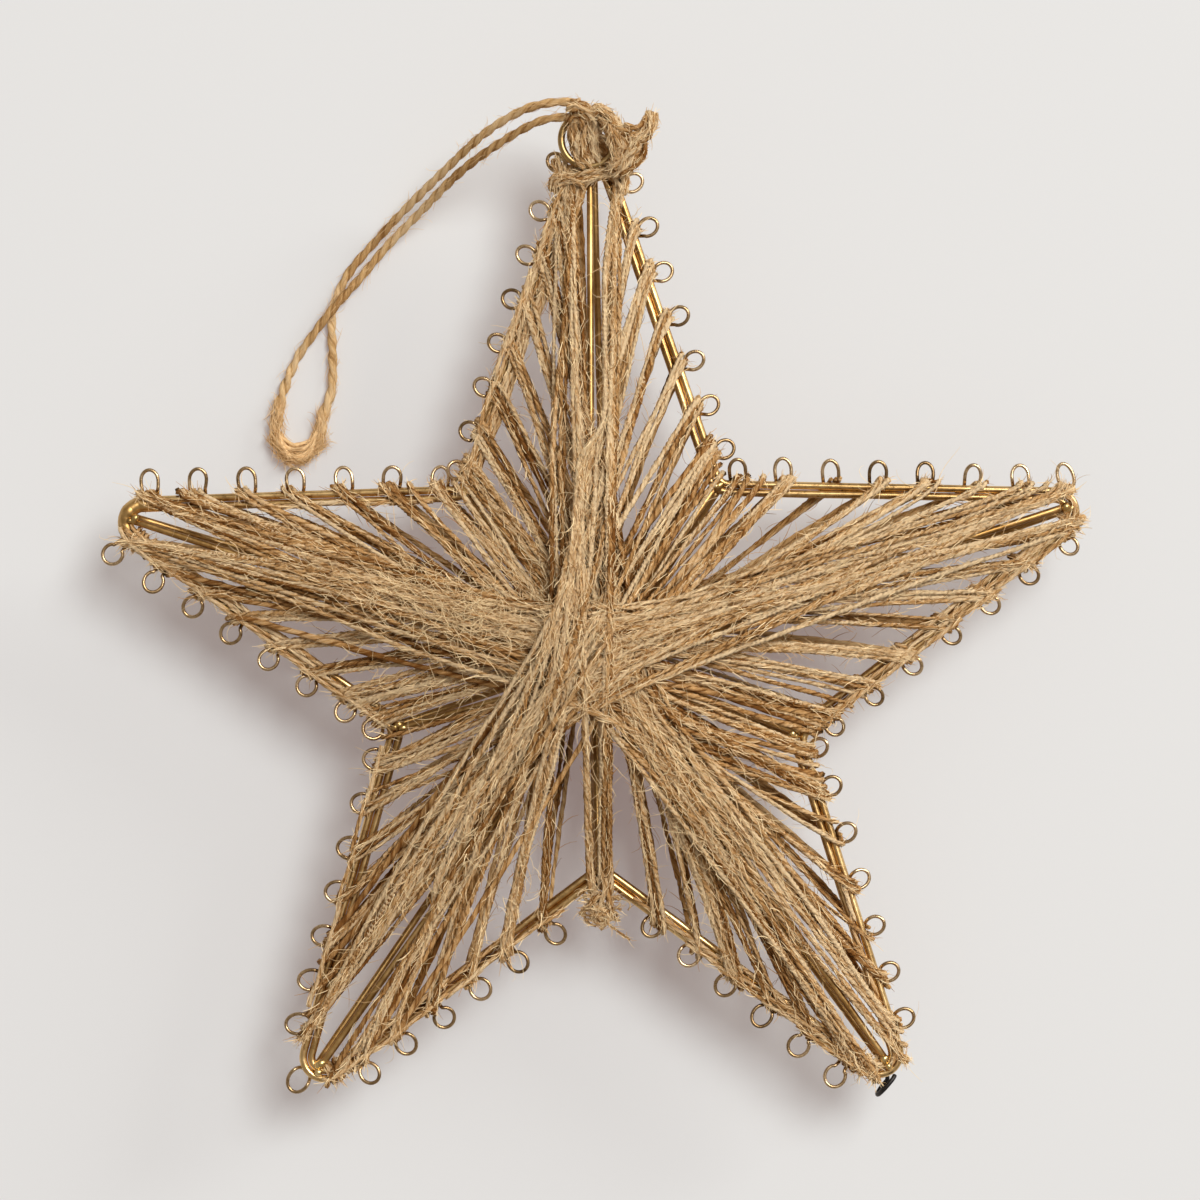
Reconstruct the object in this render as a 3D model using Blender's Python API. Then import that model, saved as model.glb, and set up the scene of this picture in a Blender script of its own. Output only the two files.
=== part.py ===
"""Rope star ornament: a puffy five-pointed wire star wound with jute twine.

Millimetre sizes below are turned into metres by MM.  The star lies in the XY
plane with its top arm along +Y and its front up.  It rests on a small flat
spot of the twine crossing at the back, at z = 0 under the star's centre.
"""

import math

import bmesh
import bpy
from mathutils import Matrix, Vector

MM = 0.001

# ---------------------------------------------------------------- sizes (mm)
OUTLINE_Z = 20.0  # height of the plane that the outline rods lie in
GAP = 0.3  # air between neighbouring solids

# the outline, counter-clockwise from the top arm
TIP_ANGLES = (90.8, 162.7, 235.1, 305.7, 378.4)
TIP_RADII = (101.9, 101.6, 102.0, 101.9, 102.1)
TIP_BENDS = (4.7, 4.4, 4.3, 4.3, 4.3)  # the top tip is the bluntest
VALLEY_ANGLES = (128.1, 197.3, 270.5, 340.4, 416.1)  # each follows its arm
VALLEY_RADII = (45.1, 43.9, 43.2, 43.7, 44.1)
VALLEY_BEND = 2.6
ROD_RADIUS = 0.8
ROD_SIDES = 6
INNER_SHIFT = 2 * ROD_RADIUS + GAP

# loops of the thin wire: for each edge in travelling order the number of loops,
# then the distance from the valley corner of the first, the second and the last
# one, and how much further out than LOOP_CENTRE the first and the last one stand
EDGE_LOOPS = (
    (7, 6.4, 15.9, 63.8, 0.2, 0.3),  # right valley up to the top tip
    (8, 3.3, 11.7, 68.2, 0.0, 0.8),  # top tip down to the left valley
    (7, 4.4, 14.2, 63.6, 0.0, 0.9),
    (8, 3.2, 9.9, 66.4, 0.2, 1.6),
    (8, 7.1, 16.5, 72.6, 0.0, 0.0),
    (6, 14.5, 24.0, 61.7, 0.9, 0.8),
    (6, 14.5, 24.0, 62.5, 0.0, 2.0),
    (7, 3.3, 11.6, 61.1, 0.0, 0.0),
    (7, 6.6, 16.7, 66.8, 0.0, 0.0),
    (8, 3.5, 12.8, 70.8, 0.3, 0.1),
)
LOOP_WIRE_RADIUS = 0.42
LOOP_RADIUS = 2.0
LOOP_CENTRE = 3.05  # from the outer rod's centre line
LOOP_BASE_OUT = 0.1  # between loops the wire runs along the back of the outer rod
LOOP_BASE_Z = -1.62
LOOP_TILT = 24.0  # degrees, only where two loops meet in a valley
EDGE_ON_LOOP = (  # out, height and sideways from the rod, along the wire
    (1.9, -1.9, -0.8),
    (3.8, -2.3, -0.8),
    (5.6, -1.2, -0.5),
    (5.9, 0.7, 0.0),
    (4.4, 1.8, 0.5),
    (2.7, 1.2, 0.9),
    (2.5, -1.0, 1.1),
)
EDGE_ON_ANGLE = 232.0  # direction of the one loop that stands on edge, at a tip

# ribs
RIB_RADIUS = 0.75
RIB_TIP_R = 96.2
RIB_VALLEY_INSET = 2.7
RIB_APEX_R = 3.3
RIB_RIM_Z = 0.8
RIB_APEX_Z = 13.3
RIB_SIDESTEP = 0.9

# twine winding
PAD_R = 18.7  # the crossing in the middle
BAND = (19.0, 21.0)  # where an arm's strands lie side by side, from, to
BAND_Z = (12.3, 13.6)
PAD_SIDES = 26
PAD_RING_R = 12.0
FRONT_PAD_Z = (18.2, 20.0)  # dome: at the ring, at the centre
BACK_PAD_Z = (20.0, 20.0)  # flat spot that the star rests on
PAD_INNER_Z = 15.2
STRAND_WIDTH = 1.35
STRAND_THICK = 1.3
FRONT_OVER = ROD_RADIUS + GAP
BACK_OVER = 2.35
BOTTOM_BUNDLE_WIDTH = 1.9

# hanging ring, knots
RING_CENTRE = (-2.2, 106.4)
RING_RADIUS = 5.45
RING_WIRE = 0.75
RING_Z = 3.55
KNOT_CENTRE = (3.7, 107.0, 6.7)
KNOT_RADII = (7.4, 7.1, 3.9)
VALLEY_KNOT_CENTRE = (0.6, -50.3, -0.4)
VALLEY_KNOT_RADII = (3.7, 3.5, 2.6)

# hanging loop: the route's control points (x, y, z above the ground)
CORD_RADIUS = 0.85
CORD_STEP = 4.9
CORD_ROUTE = (
    (-3.7, 113.6, 26.4),
    (-9.8, 113.6, 25.8),
    (-16.1, 112.0, 23.6),
    (-23.9, 107.7, 18.4),
    (-34.0, 99.3, 9.6),
    (-41.2, 92.9, 3.8),
    (-46.4, 87.6, 1.3),
    (-51.8, 81.3, 0.95),
    (-54.8, 75.2, 0.95),
    (-55.6, 70.4, 0.95),
    (-55.4, 64.4, 0.95),
    (-55.6, 56.7, 0.95),
    (-57.6, 50.6, 0.95),
    (-58.3, 45.8, 0.95),
    (-60.6, 43.2, 0.95),
    (-63.2, 42.6, 0.95),
    (-66.0, 44.2, 0.95),
    (-67.1, 48.0, 0.95),
    (-66.2, 54.4, 0.95),
    (-63.2, 62.4, 0.95),
    (-59.2, 68.3, 2.3),
    (-55.2, 73.4, 3.1),
    (-50.0, 79.4, 2.0),
    (-44.4, 86.0, 2.2),
    (-37.6, 92.6, 5.6),
    (-28.6, 100.6, 13.6),
    (-19.7, 106.3, 20.4),
    (-12.0, 110.0, 24.4),
    (-5.6, 110.9, 25.6),
)


# ------------------------------------------------------------ plane geometry
def polar(radius, degrees):
    a = math.radians(degrees)
    return Vector((radius * math.cos(a), radius * math.sin(a)))


def turned(v, angle):
    c, s = math.cos(angle), math.sin(angle)
    return Vector((c * v.x - s * v.y, s * v.x + c * v.y))


def rightward(v):
    return Vector((v.y, -v.x))


def outline_primitives():
    """Lines and arcs of the outer rod's centre line, counter-clockwise from the
    valley before the top arm.  Each is (kind, edge or corner number, data)."""
    tips = [polar(r - b, a) for r, b, a in zip(TIP_RADII, TIP_BENDS, TIP_ANGLES)]
    valleys = [polar(r, a) for r, a in zip(VALLEY_RADII, VALLEY_ANGLES)]
    edges = []
    for i in range(5):
        centre = tips[i]
        for corner, side in ((valleys[i - 1], -1), (valleys[i], 1)):
            to = centre - corner
            lean = math.asin(TIP_BENDS[i] / to.length)
            reach = math.sqrt(to.length_squared - TIP_BENDS[i] ** 2)
            edges.append((corner, corner + turned(to.normalized(), side * lean) * reach))
    prims = []
    for i in range(5):
        up, down = edges[2 * i], edges[2 * i + 1]
        before = edges[2 * i - 1]
        u_in = (before[0] - before[1]).normalized()
        u_out = (up[1] - up[0]).normalized()
        turn = math.acos(max(-1, min(1, u_in.dot(u_out))))
        cut = VALLEY_BEND * math.tan(turn / 2)
        prims.append(("valley", i - 1, up[0], u_in, turn, cut))
        nxt = edges[(2 * i + 2) % 10]
        u_down = (down[0] - down[1]).normalized()
        turn2 = math.acos(max(-1, min(1, u_down.dot((nxt[1] - nxt[0]).normalized()))))
        cut2 = VALLEY_BEND * math.tan(turn2 / 2)
        prims.append(("line", 2 * i, up[0] + u_out * cut, up[1], cut))
        a0 = math.atan2(*(reversed((up[1] - tips[i])[:])))
        a1 = math.atan2(*(reversed((down[1] - tips[i])[:])))
        while a1 < a0:
            a1 += 2 * math.pi
        prims.append(("tip", i, tips[i], a0, a1))
        prims.append(("line", 2 * i + 1, down[1], down[0] - u_down * cut2, cut2))
    return prims


def arc_points(prim, tip_steps, valley_steps):
    """Points with their outward normals along one corner."""
    out = []
    if prim[0] == "tip":
        _, number, centre, a0, a1 = prim
        for k in range(tip_steps + 1):
            n = polar(1, math.degrees(a0 + (a1 - a0) * k / tip_steps))
            out.append((centre + n * TIP_BENDS[number], n))
    else:
        _, _, corner, u_in, turn, cut = prim
        start = corner - u_in * cut
        centre = start + rightward(u_in) * VALLEY_BEND
        for k in range(valley_steps + 1):
            n = turned(rightward(u_in), -turn * k / valley_steps)
            out.append((centre - n * VALLEY_BEND, n))
    return out


class Outline:
    """The outer rod's centre line by distance travelled.  An arm runs from the
    middle of one valley to the middle of the next."""

    def __init__(self):
        fine = []
        self.edge_start = {}
        s = 0.0
        last = None
        self.corner_s = []
        for prim in outline_primitives():
            if prim[0] == "line":
                _, edge, p, q, cut = prim
                n = rightward((q - p).normalized())
                pts = [(p, n), (q, n)]
            else:
                pts = arc_points(prim, 24, 12)
            first = s
            for p, n in pts:
                if last is not None:
                    s += (p - last).length
                fine.append((s, p, n))
                last = p
            if prim[0] == "line":
                if edge % 2 == 0:
                    self.edge_start[edge] = (fine[-2][0] - cut, 1)
                else:
                    self.edge_start[edge] = (fine[-1][0] + cut, -1)
            else:
                self.corner_s.append((prim[0], prim[1], first, s))
        first_p = fine[0][1]
        self.length = s + (first_p - last).length
        self.fine = fine + [(self.length, fine[0][1], fine[0][2])]

    def at(self, s):
        s %= self.length
        lo, hi = 0, len(self.fine) - 1
        while hi - lo > 1:
            mid = (lo + hi) // 2
            if self.fine[mid][0] <= s:
                lo = mid
            else:
                hi = mid
        s0, p0, n0 = self.fine[lo]
        s1, p1, n1 = self.fine[hi]
        f = 0 if s1 - s0 < 1e-9 else (s - s0) / (s1 - s0)
        n = (n0 * (1 - f) + n1 * f).normalized()
        return p0 * (1 - f) + p1 * f, n

    def on_edge(self, edge, distance):
        start, sign = self.edge_start[edge]
        return start + sign * distance

    def arm_span(self, arm):
        """Where arm 0, the top one, or another starts and ends."""
        mids = [(s0 + s1) / 2 for kind, _, s0, s1 in self.corner_s if kind == "valley"]
        end = mids[arm + 1] if arm < 4 else mids[0] + self.length
        return mids[arm], end

    def bends_between(self, a, b):
        """Distances at which a wire following the outline from a to b bends."""
        out = []
        for turns in (-1, 0, 1, 2):
            for kind, _, s0, s1 in self.corner_s:
                steps = 5 if kind == "tip" else 4
                for k in range(steps + 1):
                    s = turns * self.length + s0 + (s1 - s0) * k / steps
                    if a + 0.4 < s < b - 0.4:
                        out.append(s)
        return sorted(out)


OUTLINE = Outline()


def loop_places():
    """Distance along the outline of every loop, with its tilt in degrees and how
    much further out it stands."""
    places = []
    for edge, (count, first, second, last, near, far) in enumerate(EDGE_LOOPS):
        for k in range(count):
            d = second + (last - second) * (k - 1) / (count - 2) if k else first
            tilt = 0.0
            if k == 0 and first < 7.0:
                tilt = LOOP_TILT if edge % 2 else -LOOP_TILT * 0.35
            out = near + (far - near) * k / (count - 1)
            places.append((OUTLINE.on_edge(edge, d) % OUTLINE.length, (tilt, out)))
    return sorted(places)


def in_arm(places, arm):
    """Those of the places (distance, anything) that lie on an arm."""
    a, b = OUTLINE.arm_span(arm)
    out = []
    for s, extra in places:
        s = a + (s - a) % OUTLINE.length
        if s < b:
            out.append((s, extra))
    return sorted(out)


# -------------------------------------------------------------- mesh helpers
def new_object(name, bm, colour, roughness, metallic, smooth=True):
    bmesh.ops.recalc_face_normals(bm, faces=bm.faces[:])
    mesh = bpy.data.meshes.new(name)
    bm.to_mesh(mesh)
    bm.free()
    if smooth:
        for poly in mesh.polygons:
            poly.use_smooth = True
    obj = bpy.data.objects.new(name, mesh)
    bpy.context.collection.objects.link(obj)
    paint(obj, colour, roughness, metallic)
    return obj


def paint(obj, colour, roughness, metallic):
    mat = bpy.data.materials.new(obj.name)
    mat.use_nodes = True
    shader = mat.node_tree.nodes["Principled BSDF"]
    shader.inputs["Base Color"].default_value = (*colour, 1.0)
    shader.inputs["Roughness"].default_value = roughness
    shader.inputs["Metallic"].default_value = metallic
    obj.data.materials.append(mat)


def sweep(bm, points, radius, sides, closed=False, up=None):
    """A tube through 3-D points (mm) with mitred bends, turning as little as it can."""
    n = len(points)
    tangents = []
    for i in range(n):
        a = points[(i - 1) % n] if closed or i else points[i]
        b = points[(i + 1) % n] if closed or i < n - 1 else points[i]
        tangents.append((b - a).normalized())
    rings = []
    ref = up or Vector((0, 0, 1))
    ref = (ref - tangents[0] * ref.dot(tangents[0])).normalized()
    for i, p in enumerate(points):
        t = tangents[i]
        ref = up if up is not None else ref
        ref = (ref - t * ref.dot(t)).normalized()
        side = t.cross(ref)
        # stretch across the bend, so that the tube keeps its width there
        mitre = 1.0
        across = side
        if closed or 0 < i < n - 1:
            d0 = (p - points[(i - 1) % n]).normalized()
            d1 = (points[(i + 1) % n] - p).normalized()
            half = math.acos(max(-1, min(1, d0.dot(d1)))) / 2
            mitre = 1 / max(0.7, math.cos(half))
            bend = d1 - d0
            if bend.length > 1e-6:
                across = bend.normalized()
        ring = []
        for k in range(sides):
            a = 2 * math.pi * (k + 0.5) / sides
            v = (ref * math.sin(a) + side * math.cos(a)) * radius
            v += across * v.dot(across) * (mitre - 1)
            ring.append(bm.verts.new((p + v) * MM))
        rings.append(ring)
    last = n if closed else n - 1
    for i in range(last):
        r0, r1 = rings[i], rings[(i + 1) % n]
        for k in range(sides):
            j = (k + 1) % sides
            bm.faces.new((r0[k], r0[j], r1[j], r1[k]))
    if not closed:
        bm.faces.new(list(reversed(rings[0])))
        bm.faces.new(rings[-1])


def at_height(p, z):
    return Vector((p.x, p.y, OUTLINE_Z + z))


# ------------------------------------------------------------------ the parts
BRASS = (0.47, 0.30, 0.10)
OLD_BRASS = (0.36, 0.25, 0.09)
JUTE = (0.46, 0.31, 0.16)
JUTE_DARK = (0.36, 0.23, 0.11)
CORD_TAN = (0.50, 0.31, 0.15)


def outline_rod(name, arm, shift):
    a, b = OUTLINE.arm_span(arm)
    # the inner rod is shorter in the valley's bend, so its cut is measured there
    cut = GAP / 2 * VALLEY_BEND / (VALLEY_BEND + shift)
    stops = [a + cut, *OUTLINE.bends_between(a + 0.2, b - 0.2), b - cut]
    pts = []
    for s in stops:
        p, n = OUTLINE.at(s)
        pts.append(at_height(p - n * shift, 0))
    bm = bmesh.new()
    sweep(bm, pts, ROD_RADIUS, ROD_SIDES, up=Vector((0, 0, 1)))
    return new_object(name, bm, BRASS, 0.32, 1.0)


def loop_wire(name, arm):
    r = LOOP_RADIUS
    a, b = OUTLINE.arm_span(arm)
    places = in_arm(loop_places(), arm)
    if arm == 3:
        tip = next(c for c in OUTLINE.corner_s if c[0] == "tip" and c[1] == arm)
        places = sorted(places + [((tip[2] + tip[3]) / 2, None)])

    def base(s):
        p, n = OUTLINE.at(s)
        return at_height(p + n * LOOP_BASE_OUT, LOOP_BASE_Z)

    pts = [base(a + GAP / 2)]
    here = a + GAP / 2
    for s0, extra in places:
        reach = 1.2 if extra is None else 1.75
        for s in OUTLINE.bends_between(here, s0 - reach):
            pts.append(base(s))
        pts.append(base(s0 - reach))
        p, n = OUTLINE.at(s0)
        t = Vector((-n.y, n.x))
        if extra is None:
            d = polar(1, EDGE_ON_ANGLE)
            for out, z, x in EDGE_ON_LOOP:
                pts.append(at_height(p + n * 1.0 + d * (out - 1.0) + t * x, z))
        else:
            lean = math.radians(extra[0])
            centre = LOOP_CENTRE + extra[1]
            for angle in (208, 145, 90, 35, -28):
                x = r * math.cos(math.radians(angle))
                y = centre + r * math.sin(math.radians(angle))
                drop = -0.55 if angle in (208, -28) else 0.0
                rise = (y - 1.0) * math.sin(lean)
                y = 1.0 + (y - 1.0) * math.cos(lean)
                pts.append(at_height(p + t * x + n * y, drop + rise))
        pts.append(base(s0 + reach))
        here = s0 + reach
    for s in OUTLINE.bends_between(here, b - GAP / 2):
        pts.append(base(s))
    pts.append(base(b - GAP / 2))
    bm = bmesh.new()
    sweep(bm, pts, LOOP_WIRE_RADIUS, 3)
    return new_object(name, bm, OLD_BRASS, 0.35, 1.0)


def rib(name, angle, start_r, side):
    along = polar(1, angle)
    across = Vector((-along.y, along.x)) * RIB_SIDESTEP * side
    a = at_height(along * start_r + across, side * RIB_RIM_Z)
    b = at_height(along * RIB_APEX_R + across, side * RIB_APEX_Z)
    bm = bmesh.new()
    sweep(bm, [a, b], RIB_RADIUS, 5)
    return new_object(name, bm, BRASS, 0.32, 1.0)


def pegs():
    """Where the twine turns round the rods: in every loop's mouth, and in the
    bottom valley.  Each is (distance, width of what turns there)."""
    out = [(s, STRAND_WIDTH) for s, _ in loop_places()]
    low = next(c for c in OUTLINE.corner_s if c[0] == "valley" and c[1] == 2)
    out.append(((low[2] + low[3]) / 2, BOTTOM_BUNDLE_WIDTH))
    return sorted(out)


def peg_angles(places):
    """Even spacing round the pad's rim, in the pegs' order."""
    n = len(places)
    raw = []
    for s, _ in places:
        p, _n = OUTLINE.at(s)
        raw.append(math.atan2(p.y, p.x))
    for i in range(1, n):
        while raw[i] < raw[i - 1] - math.pi:
            raw[i] += 2 * math.pi
    step = 2 * math.pi / n
    phase = sum(a - i * step for i, a in enumerate(raw)) / n
    return [phase + i * step for i in range(n)]


def arm_strands(name, arm, side, over, colour):
    """One arm's strands in one layer of the winding: side by side at the band,
    and from there one to every peg, where it turns round the rods."""
    places = pegs()
    angles = dict(zip((s for s, _ in places), peg_angles(places)))
    low, high = BAND_Z
    half = STRAND_WIDTH / 2 / BAND[1]
    bm = bmesh.new()

    def vert(p, z):
        return bm.verts.new(Vector((p.x, p.y, OUTLINE_Z + side * z)) * MM)

    rims, inners = [], []
    for s, width in in_arm(places, arm):
        a = angles[s % OUTLINE.length if s % OUTLINE.length in angles else s]
        left, right = (polar(BAND[1], math.degrees(a + h)) for h in (half, -half))
        rim = (vert(left, low), vert(right, low), vert(right, high), vert(left, high))
        inner = polar(BAND[0], math.degrees(a))
        rims.append(rim)
        inners.append((vert(inner, low), vert(inner, high)))
        p, out = OUTLINE.at(s)
        t = Vector((-out.y, out.x))
        ray = (p - polar(BAND[1], math.degrees(a))).normalized()
        across = Vector((-ray.y, ray.x))
        w, c = width / 2, STRAND_WIDTH / 2
        lo, hi = over, over + STRAND_THICK
        near = ROD_RADIUS + GAP + 0.25
        far = near + STRAND_THICK
        top = p + out * GAP
        sections = [
            rim,
            (
                vert(top + across * w, lo),
                vert(top - across * w, lo),
                vert(top - across * w, hi),
                vert(top + across * w, hi),
            ),
            (
                vert(p + out * near + t * c, GAP / 2),
                vert(p + out * near - t * c, GAP / 2),
                vert(p + out * far - t * c, GAP / 2),
                vert(p + out * far + t * c, GAP / 2),
            ),
        ]
        for s0, s1 in zip(sections, sections[1:]):
            for k in range(4):
                j = (k + 1) % 4
                bm.faces.new((s0[k], s0[j], s1[j], s1[k]))
        bm.faces.new(sections[-1])
    for rim, (b, t) in zip(rims, inners):
        bm.faces.new((rim[0], rim[1], b))
        bm.faces.new((rim[3], t, rim[2]))
    for k in range(len(rims) - 1):
        a, b = rims[k], rims[k + 1]
        (ab, at), (bb, bt) = inners[k], inners[k + 1]
        bm.faces.new((a[0], b[1], b[2], a[3]))
        bm.faces.new((ab, at, bt, bb))
        bm.faces.new((a[0], ab, bb, b[1]))
        bm.faces.new((a[3], b[2], bt, at))
    first, last = rims[0], rims[-1]
    bm.faces.new((first[1], inners[0][0], inners[0][1], first[2]))
    bm.faces.new((last[0], last[3], inners[-1][1], inners[-1][0]))
    return new_object(name, bm, colour, 0.9, 0.0)


def crossing(name, side, pad_z, colour):
    """The middle of one layer, where all its strands cross."""
    bm = bmesh.new()

    def circle(r, z):
        steps = [polar(r, 360 * k / PAD_SIDES) for k in range(PAD_SIDES)]
        return [
            bm.verts.new(Vector((p.x, p.y, OUTLINE_Z + side * z)) * MM) for p in steps
        ]

    rows = [circle(PAD_R, BAND_Z[0]), circle(PAD_R, BAND_Z[1]), circle(PAD_RING_R, pad_z[0])]
    for a, b in zip(rows, rows[1:]):
        for k in range(PAD_SIDES):
            j = (k + 1) % PAD_SIDES
            bm.faces.new((a[k], a[j], b[j], b[k]))
    for row, z in ((rows[0], PAD_INNER_Z), (rows[-1], pad_z[1])):
        if abs(row[0].co.z / MM - OUTLINE_Z - side * z) < 1e-4:
            bm.faces.new(row)
        else:
            tip = bm.verts.new(Vector((0, 0, OUTLINE_Z + side * z)) * MM)
            for k in range(PAD_SIDES):
                bm.faces.new((tip, row[k], row[(k + 1) % PAD_SIDES]))
    return new_object(name, bm, colour, 0.9, 0.0)


def lump(bm, centre, radii, lobes, rings=9, around=16):
    """A knot: an ellipsoid (mm) that swells towards each lobe's direction."""
    rows = []
    for i in range(rings + 1):
        lat = math.pi * (i / rings - 0.5)
        row = []
        for k in range(around if 0 < i < rings else 1):
            lon = 2 * math.pi * (k + 0.5 * (i % 2)) / around
            u = Vector(
                (math.cos(lat) * math.cos(lon), math.cos(lat) * math.sin(lon), math.sin(lat))
            )
            grow = 1.0
            for (a, b), amount, width in lobes:
                v = Vector((*(polar(math.cos(math.radians(b)), a)), math.sin(math.radians(b))))
                grow += amount * math.exp(-((u - v).length_squared) / width**2)
            v = Vector([c + r * x * grow for c, r, x in zip(centre, radii, u)])
            row.append(bm.verts.new(Vector((v.x, v.y, OUTLINE_Z + v.z)) * MM))
        rows.append(row)
    for i in range(rings):
        a, b = rows[i], rows[i + 1]
        for k in range(around):
            j = (k + 1) % around
            if len(a) == 1:
                bm.faces.new((a[0], b[k], b[j]))
            elif len(b) == 1:
                bm.faces.new((a[k], a[j], b[0]))
            elif (i % 2) == 0:
                bm.faces.new((a[k], a[j], b[k]))
                bm.faces.new((a[j], b[j], b[k]))
            else:
                bm.faces.new((a[k], a[j], b[j]))
                bm.faces.new((a[k], b[j], b[k]))


def torus(bm, centre, z, major, minor, steps, sides):
    pts = [
        Vector((centre[0], centre[1], OUTLINE_Z + z))
        + Vector((*polar(major, 360 * k / steps), 0))
        for k in range(steps)
    ]
    sweep(bm, pts, minor, sides, closed=True, up=Vector((0, 0, 1)))


def apply_boolean(obj, cutter, operation):
    mod = obj.modifiers.new(operation.lower(), "BOOLEAN")
    mod.operation = operation
    mod.solver = "EXACT"
    mod.object = cutter
    cutter.hide_render = True
    cutter.display_type = "WIRE"


def hanging_ring():
    bm = bmesh.new()
    torus(bm, RING_CENTRE, RING_Z, RING_RADIUS, RING_WIRE, 20, ROD_SIDES)
    return new_object("hanging_ring", bm, OLD_BRASS, 0.38, 1.0)


def ring_knot():
    bm = bmesh.new()
    lobes = (
        ((35, 5), 0.22, 0.35),  # the frayed tail
        ((120, 25), 0.08, 0.5),
        ((300, 20), 0.07, 0.5),
        ((205, 30), 0.06, 0.5),
    )
    lump(bm, KNOT_CENTRE, KNOT_RADII, lobes, rings=8, around=13)
    knot = new_object("ring_knot", bm, JUTE, 0.9, 0.0)
    bm = bmesh.new()
    grown = GAP + 0.03
    torus(bm, RING_CENTRE, RING_Z, RING_RADIUS, RING_WIRE + grown, 20, ROD_SIDES)
    groove = new_object("ring_groove_cutter", bm, JUTE, 0.9, 0.0)
    apply_boolean(knot, groove, "DIFFERENCE")
    return knot


def valley_knot():
    bm = bmesh.new()
    lobes = (((250, 10), 0.12, 0.5), ((330, -10), 0.1, 0.5), ((90, 40), 0.05, 0.4))
    lump(bm, VALLEY_KNOT_CENTRE, VALLEY_KNOT_RADII, lobes, rings=7, around=12)
    return new_object("valley_knot", bm, JUTE, 0.9, 0.0)


def smooth_route(control, step):
    """The control points joined by a Catmull-Rom curve, cut into even steps."""
    pts = [Vector(p) for p in control]
    pts = [pts[0] * 2 - pts[1]] + pts + [pts[-1] * 2 - pts[-2]]
    dense = []
    for i in range(1, len(pts) - 2):
        p0, p1, p2, p3 = pts[i - 1 : i + 3]
        for k in range(24):
            t = k / 24
            dense.append(
                0.5
                * (
                    2 * p1
                    + (p2 - p0) * t
                    + (2 * p0 - 5 * p1 + 4 * p2 - p3) * t * t
                    + (3 * p1 - p0 - 3 * p2 + p3) * t**3
                )
            )
    dense.append(pts[-2])
    total = sum((b - a).length for a, b in zip(dense, dense[1:]))
    count = round(total / step)
    out, walked, target = [dense[0]], 0.0, total / count
    for a, b in zip(dense, dense[1:]):
        d = (b - a).length
        while walked + d >= target - 1e-9 and len(out) < count:
            out.append(a.lerp(b, (target - walked) / d))
            target += total / count
        walked += d
    out.append(dense[-1])
    return out


def hanging_loop():
    pts = smooth_route(CORD_ROUTE, CORD_STEP)
    data = bpy.data.curves.new("hanging_loop", "CURVE")
    data.dimensions = "3D"
    data.bevel_depth = CORD_RADIUS * MM
    data.bevel_resolution = 2
    data.use_fill_caps = True
    spline = data.splines.new("POLY")
    spline.points.add(len(pts) - 1)
    for point, p in zip(spline.points, pts):
        point.co = (p.x * MM, p.y * MM, p.z * MM, 1.0)
    obj = bpy.data.objects.new("hanging_loop", data)
    bpy.context.collection.objects.link(obj)
    paint(obj, CORD_TAN, 0.9, 0.0)
    return obj


def build():
    for obj in list(bpy.data.objects):
        bpy.data.objects.remove(obj, do_unlink=True)
    names = ("top", "left", "lower_left", "lower_right", "right")
    for arm, (name, angle) in enumerate(zip(names, TIP_ANGLES)):
        outline_rod(f"outer_rod_{name}", arm, 0.0)
        outline_rod(f"inner_rod_{name}", arm, INNER_SHIFT)
        loop_wire(f"loop_wire_{name}", arm)
        rib(f"front_rib_tip_{name}", angle, RIB_TIP_R, 1)
        rib(f"back_rib_tip_{name}", angle, RIB_TIP_R, -1)
        arm_strands(f"twine_front_{name}", arm, 1, FRONT_OVER, JUTE)
        arm_strands(f"twine_back_{name}", arm, -1, BACK_OVER, JUTE_DARK)
    crossing("twine_crossing_front", 1, FRONT_PAD_Z, JUTE)
    crossing("twine_crossing_back", -1, BACK_PAD_Z, JUTE_DARK)
    names = ("upper_left", "left", "bottom", "right", "upper_right")
    for name, angle, r in zip(names, VALLEY_ANGLES, VALLEY_RADII):
        rib(f"front_rib_valley_{name}", angle, r - RIB_VALLEY_INSET, 1)
        rib(f"back_rib_valley_{name}", angle, r - RIB_VALLEY_INSET, -1)
    hanging_ring()
    ring_knot()
    valley_knot()
    hanging_loop()


build()
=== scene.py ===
import math
import random

import bpy
import numpy as np
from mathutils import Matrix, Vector


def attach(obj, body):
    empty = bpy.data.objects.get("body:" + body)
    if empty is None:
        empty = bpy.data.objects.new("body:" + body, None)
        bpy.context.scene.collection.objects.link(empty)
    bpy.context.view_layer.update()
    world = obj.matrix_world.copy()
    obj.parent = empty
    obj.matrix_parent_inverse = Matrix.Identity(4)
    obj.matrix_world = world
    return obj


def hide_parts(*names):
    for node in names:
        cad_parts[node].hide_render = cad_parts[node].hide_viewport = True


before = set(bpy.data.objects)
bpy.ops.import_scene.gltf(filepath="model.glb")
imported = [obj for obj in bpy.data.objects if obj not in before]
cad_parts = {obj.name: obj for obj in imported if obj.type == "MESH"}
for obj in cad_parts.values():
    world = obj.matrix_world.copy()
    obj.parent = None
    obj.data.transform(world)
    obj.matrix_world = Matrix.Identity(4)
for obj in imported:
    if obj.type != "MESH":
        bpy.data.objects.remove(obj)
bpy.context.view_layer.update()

MM = 0.001

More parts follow.
